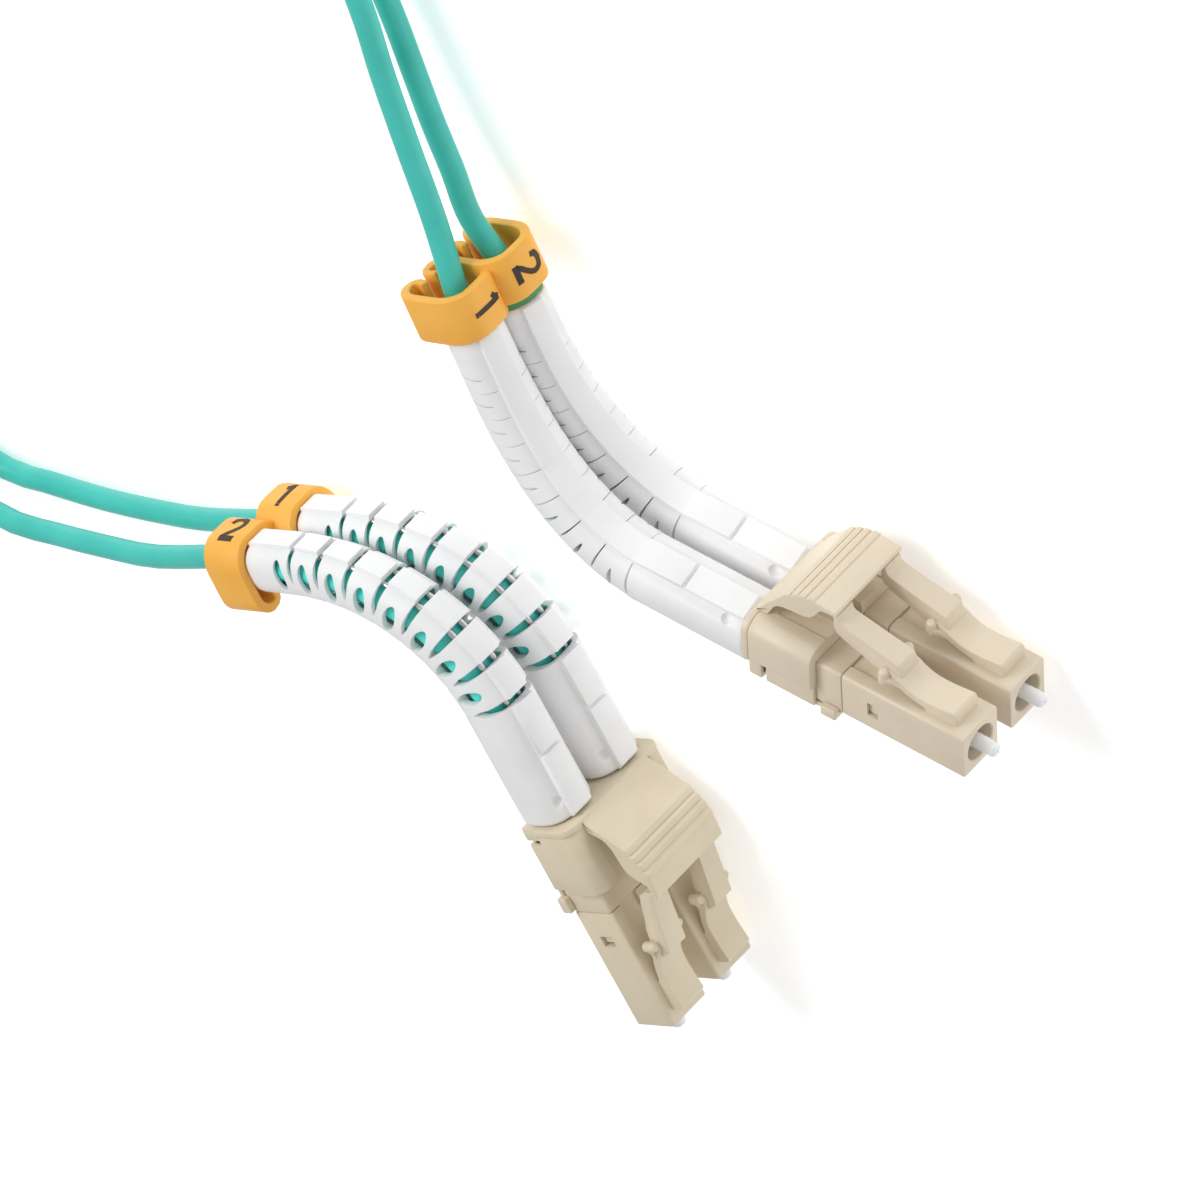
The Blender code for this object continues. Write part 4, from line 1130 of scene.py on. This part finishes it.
def add_camera():
    nose = end_point(ENDS["a"], 0, 0, HIGH_Z)
    data = bpy.data.cameras.new("camera")
    data.lens = LENS
    data.sensor_width = SENSOR
    data.clip_start = 0.05
    data.clip_end = 20.0
    camera = bpy.data.objects.new("camera", data)
    rotation = Matrix((CAMERA_RIGHT, CAMERA_UP, CAMERA_BACK)).transposed().to_4x4()
    camera.matrix_world = Matrix.Translation((nose + CAMERA_FROM_NOSE) * MM) @ rotation
    bpy.context.scene.collection.objects.link(camera)
    bpy.context.scene.camera = camera


def add_light(name, place, target, size, power):
    data = bpy.data.lights.new(name, "AREA")
    data.shape = "SQUARE"
    data.size = size
    data.energy = power
    light = bpy.data.objects.new(name, data)
    light.location = place
    direction = Vector(target) - Vector(place)
    light.rotation_euler = direction.to_track_quat("-Z", "Y").to_euler()
    bpy.context.scene.collection.objects.link(light)


def add_surroundings():
    world = bpy.data.worlds.new("world")
    world.use_nodes = True
    background = world.node_tree.nodes["Background"]
    background.inputs["Color"].default_value = (1.0, 1.0, 1.0, 1.0)
    background.inputs["Strength"].default_value = WORLD_STRENGTH
    bpy.context.scene.world = world
    bpy.context.scene.view_settings.view_transform = "Standard"
    middle = (-0.045, 0.0, 0.0)
    add_light("key", (-0.42, 0.38, 0.58), middle, 0.4, KEY_POWER)
    add_light("fill", (0.55, 0.25, 0.35), middle, 0.5, FILL_POWER)
    bm = bmesh.new()
    bmesh.ops.create_grid(bm, x_segments=1, y_segments=1, size=3.0)
    floor = from_bmesh(bm, "floor")
    floor.location = (0, 0, -0.0001)
    nodes = Nodes("floor_white")
    nodes.set(Base_Color=(0.93, 0.93, 0.93, 1.0), Roughness=0.9, Specular_IOR_Level=0.1)
    nodes.set(Emission_Color=(1.0, 1.0, 1.0, 1.0), Emission_Strength=0.42)
    floor.data.materials.append(nodes.material)


# ---- assembly


def build_connector(key, end, masters, materials):
    connector = "connector_" + key
    beige = materials["beige" if key == "a" else "beige_b"]
    for channel in (1, 2):
        tag = f"{key}{channel}"
        z = channel_height(end, channel)
        for name, mesh, body, material, slot, node in (
            ("plug_shell_", "housing", connector, beige, "beige", "plug_housing_"),
            ("latch_arm_", "latch", "latch_body_" + tag, beige, "beige", "latch_"),
            ("plug_rear_", "rear_body", connector, beige, "beige", "rear_body_"),
            ("ferrule_tip_", "ferrule", "ferrule_body_" + tag, materials["ceramic"], "ceramic", "ferrule_"),
            ("fibre_core_", "fibre", "ferrule_body_" + tag, materials["glass"], "ceramic", None),
        ):
            obj = piece(name + tag, masters[mesh], in_scene(end, (0, 0, z)), material)
            if mesh == "latch":
                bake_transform(obj)
            else:
                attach(obj, body)
            if node:
                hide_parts(node + tag)
    at = in_scene(end, (0, 0, MIDDLE_Z))
    clip = piece("duplex_clip_" + key, masters["clip"], at, beige)
    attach(clip, connector)
    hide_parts("clip_body_" + key)
    lever = piece("thumb_lever_" + key, masters["lever"], at, beige, 28.0)
    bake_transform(lever)
    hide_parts("clip_lever_" + key)


def wire_runs(end, tag, z):
    """The shaping wire in scene points, as (part, name, run): its loop at the tail, then its two legs."""
    front, back = FLEX_START - 4.6, FLEX_START + FLEX_LENGTH + 0.6

    def run(backs, aside):
        high, across = twisted(end, WIRE_HEIGHT, aside)
        return bent_run(end, tag, backs, high, z + across)

    turn = []
    for k in range(1, 8):
        angle = math.pi * k / 8
        turn += run([back + WIRE_HALF_SPAN * math.sin(angle)], WIRE_HALF_SPAN * math.cos(angle))
    there = run(backs_between(SPLIT_BACK, back), WIRE_HALF_SPAN)
    home = run(backs_between(SPLIT_BACK, back), -WIRE_HALF_SPAN)
    runs = [("tail", "wire_tail", there + turn + home[::-1])]
    for side, aside in (("up", WIRE_HALF_SPAN), ("low", -WIRE_HALF_SPAN)):
        runs.append(("head", "wire_head_" + side, run(backs_between(front, SPLIT_BACK), aside)))
    return runs


def build_boots(key, end, halves, masters, materials):
    for channel in (1, 2):
        tag = f"{key}{channel}"
        z = channel_height(end, channel)
        matrix = in_scene(end, (0, 0, z))
        backs = (FLEX_START + FLEX_LENGTH, SPLIT_BACK, FLEX_START)
        tail_at, split_at, head_at = (metres(p) for p in bent_run(end, tag, backs, 0.0, z))

        def bending(name, mesh, place, material, smooth, node, tag=tag):
            obj = piece(f"{name}_{tag}", mesh, place, materials[material], smooth)
            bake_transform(obj)
            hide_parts(node + tag)

        for part, mesh in (("tail", halves[0]), ("head", halves[1])):
            shaped = bend_mesh(mesh, end, tag)
            bending("boot_" + part, shaped, matrix, "boot", 38.0, "boot_")
        # The cable in the boot takes the lighter copy of the jacket colour, painted light against the boot's
        # shade.
        for part, start, stop in (("tail", SPLIT_BACK, BOOT_END + 0.14), ("head", 23.1, SPLIT_BACK)):
            shaped = bend_mesh(boot_cable(start, stop), end, tag, "smooth")
            bending("cable_" + part, shaped, matrix, "sleeve", 60.0, "cable_in_boot_")
        for part, name, run in wire_runs(end, tag, z):
            tube = applied(wire("scratch_" + name, run, WIRE_R, 4))
            bending(name, tube, Matrix.Identity(4), "steel", 60.0, "boot_wire_")
        add_marker(end, tag, z, masters, materials)


def add_marker(end, tag, z, masters, materials):
    """The marker round a boot's neck with its digit, and the green band behind one of them."""
    tilt = -math.radians(end["bend"])

    def fixed(name, mesh, material, back, drop):
        place = in_scene(end, placed(end, tag, end["smooth"], back, drop, z), tilt)
        obj = piece(name, masters[mesh], place, materials[material])
        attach(obj, "cord")
        return obj

    banded = tag == "a2"
    middle = NECK_START + GAP + (BAND_LENGTH + GAP if banded else 0.0) + MARKER_LENGTH / 2
    ring = fixed("marker_ring_" + tag, "marker", "yellow", middle, MARKER_DROP)
    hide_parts("marker_" + tag)
    fixed("marker_digit_" + tag, "digit_" + tag[1], "digit", middle, MARKER_DROP)
    if banded:
        band = fixed("channel_band", "band", "green", NECK_START + GAP, -0.15)
        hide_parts("green_band")


def band_mesh():
    inner, rim, outer, back = 2.0, 2.3, 2.42, -BAND_LENGTH
    profile = [(0, inner), (0, rim), (-0.08, outer), (back + 0.08, outer), (back, rim), (back, inner)]
    return applied(turned("band", profile, 48))


def build_springs(nodes, materials):
    """The hidden springs, as steel copies of the model's spring meshes in place."""
    for key, end in ENDS.items():
        for channel in (1, 2):
            tag = f"{key}{channel}"
            node = nodes["spring_" + tag]
            obj = piece("spring_wire_" + tag, node.data, node.matrix_world, materials["steel"], 60.0)
            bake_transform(obj)
            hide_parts("spring_" + tag)


def finish_cad_nodes(nodes, materials):
    """Gives every node that still shows its own material."""
    wanted = {"flange_": "brass", "crimp_body_": "nickel", "crimp_sleeve_": "nickel", "coil_tie": "strap"}
    for name, obj in nodes.items():
        for prefix, material in wanted.items():
            if name.startswith(prefix):
                obj.data.materials.clear()
                obj.data.materials.append(materials[material])


def main():
    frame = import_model()
    for end in ENDS.values():
        end["smooth"] = bend_table(end, False)
        end["stepped"] = bend_table(end, True)
    materials = make_materials()
    add_camera()
    add_surroundings()
    build_cords(materials)
    masters = {
        "housing": housing_mesh(), "latch": latch_mesh(), "rear_body": rear_body_mesh(),
        "ferrule": ferrule_mesh(), "fibre": fibre_mesh(), "clip": clip_mesh(), "lever": lever_mesh(),
        "marker": marker_mesh(), "digit_1": digit_mesh(1), "digit_2": digit_mesh(2), "band": band_mesh(),
    }
    for key, end in ENDS.items():
        whole = straight_boot(end["slits"])
        halves = (half_of(whole, True), half_of(whole, False))
        bpy.data.objects.remove(whole)
        build_connector(key, end, masters, materials)
        build_boots(key, end, halves, masters, materials)
    build_springs(frame["nodes"], materials)
    finish_cad_nodes(frame["nodes"], materials)


main()
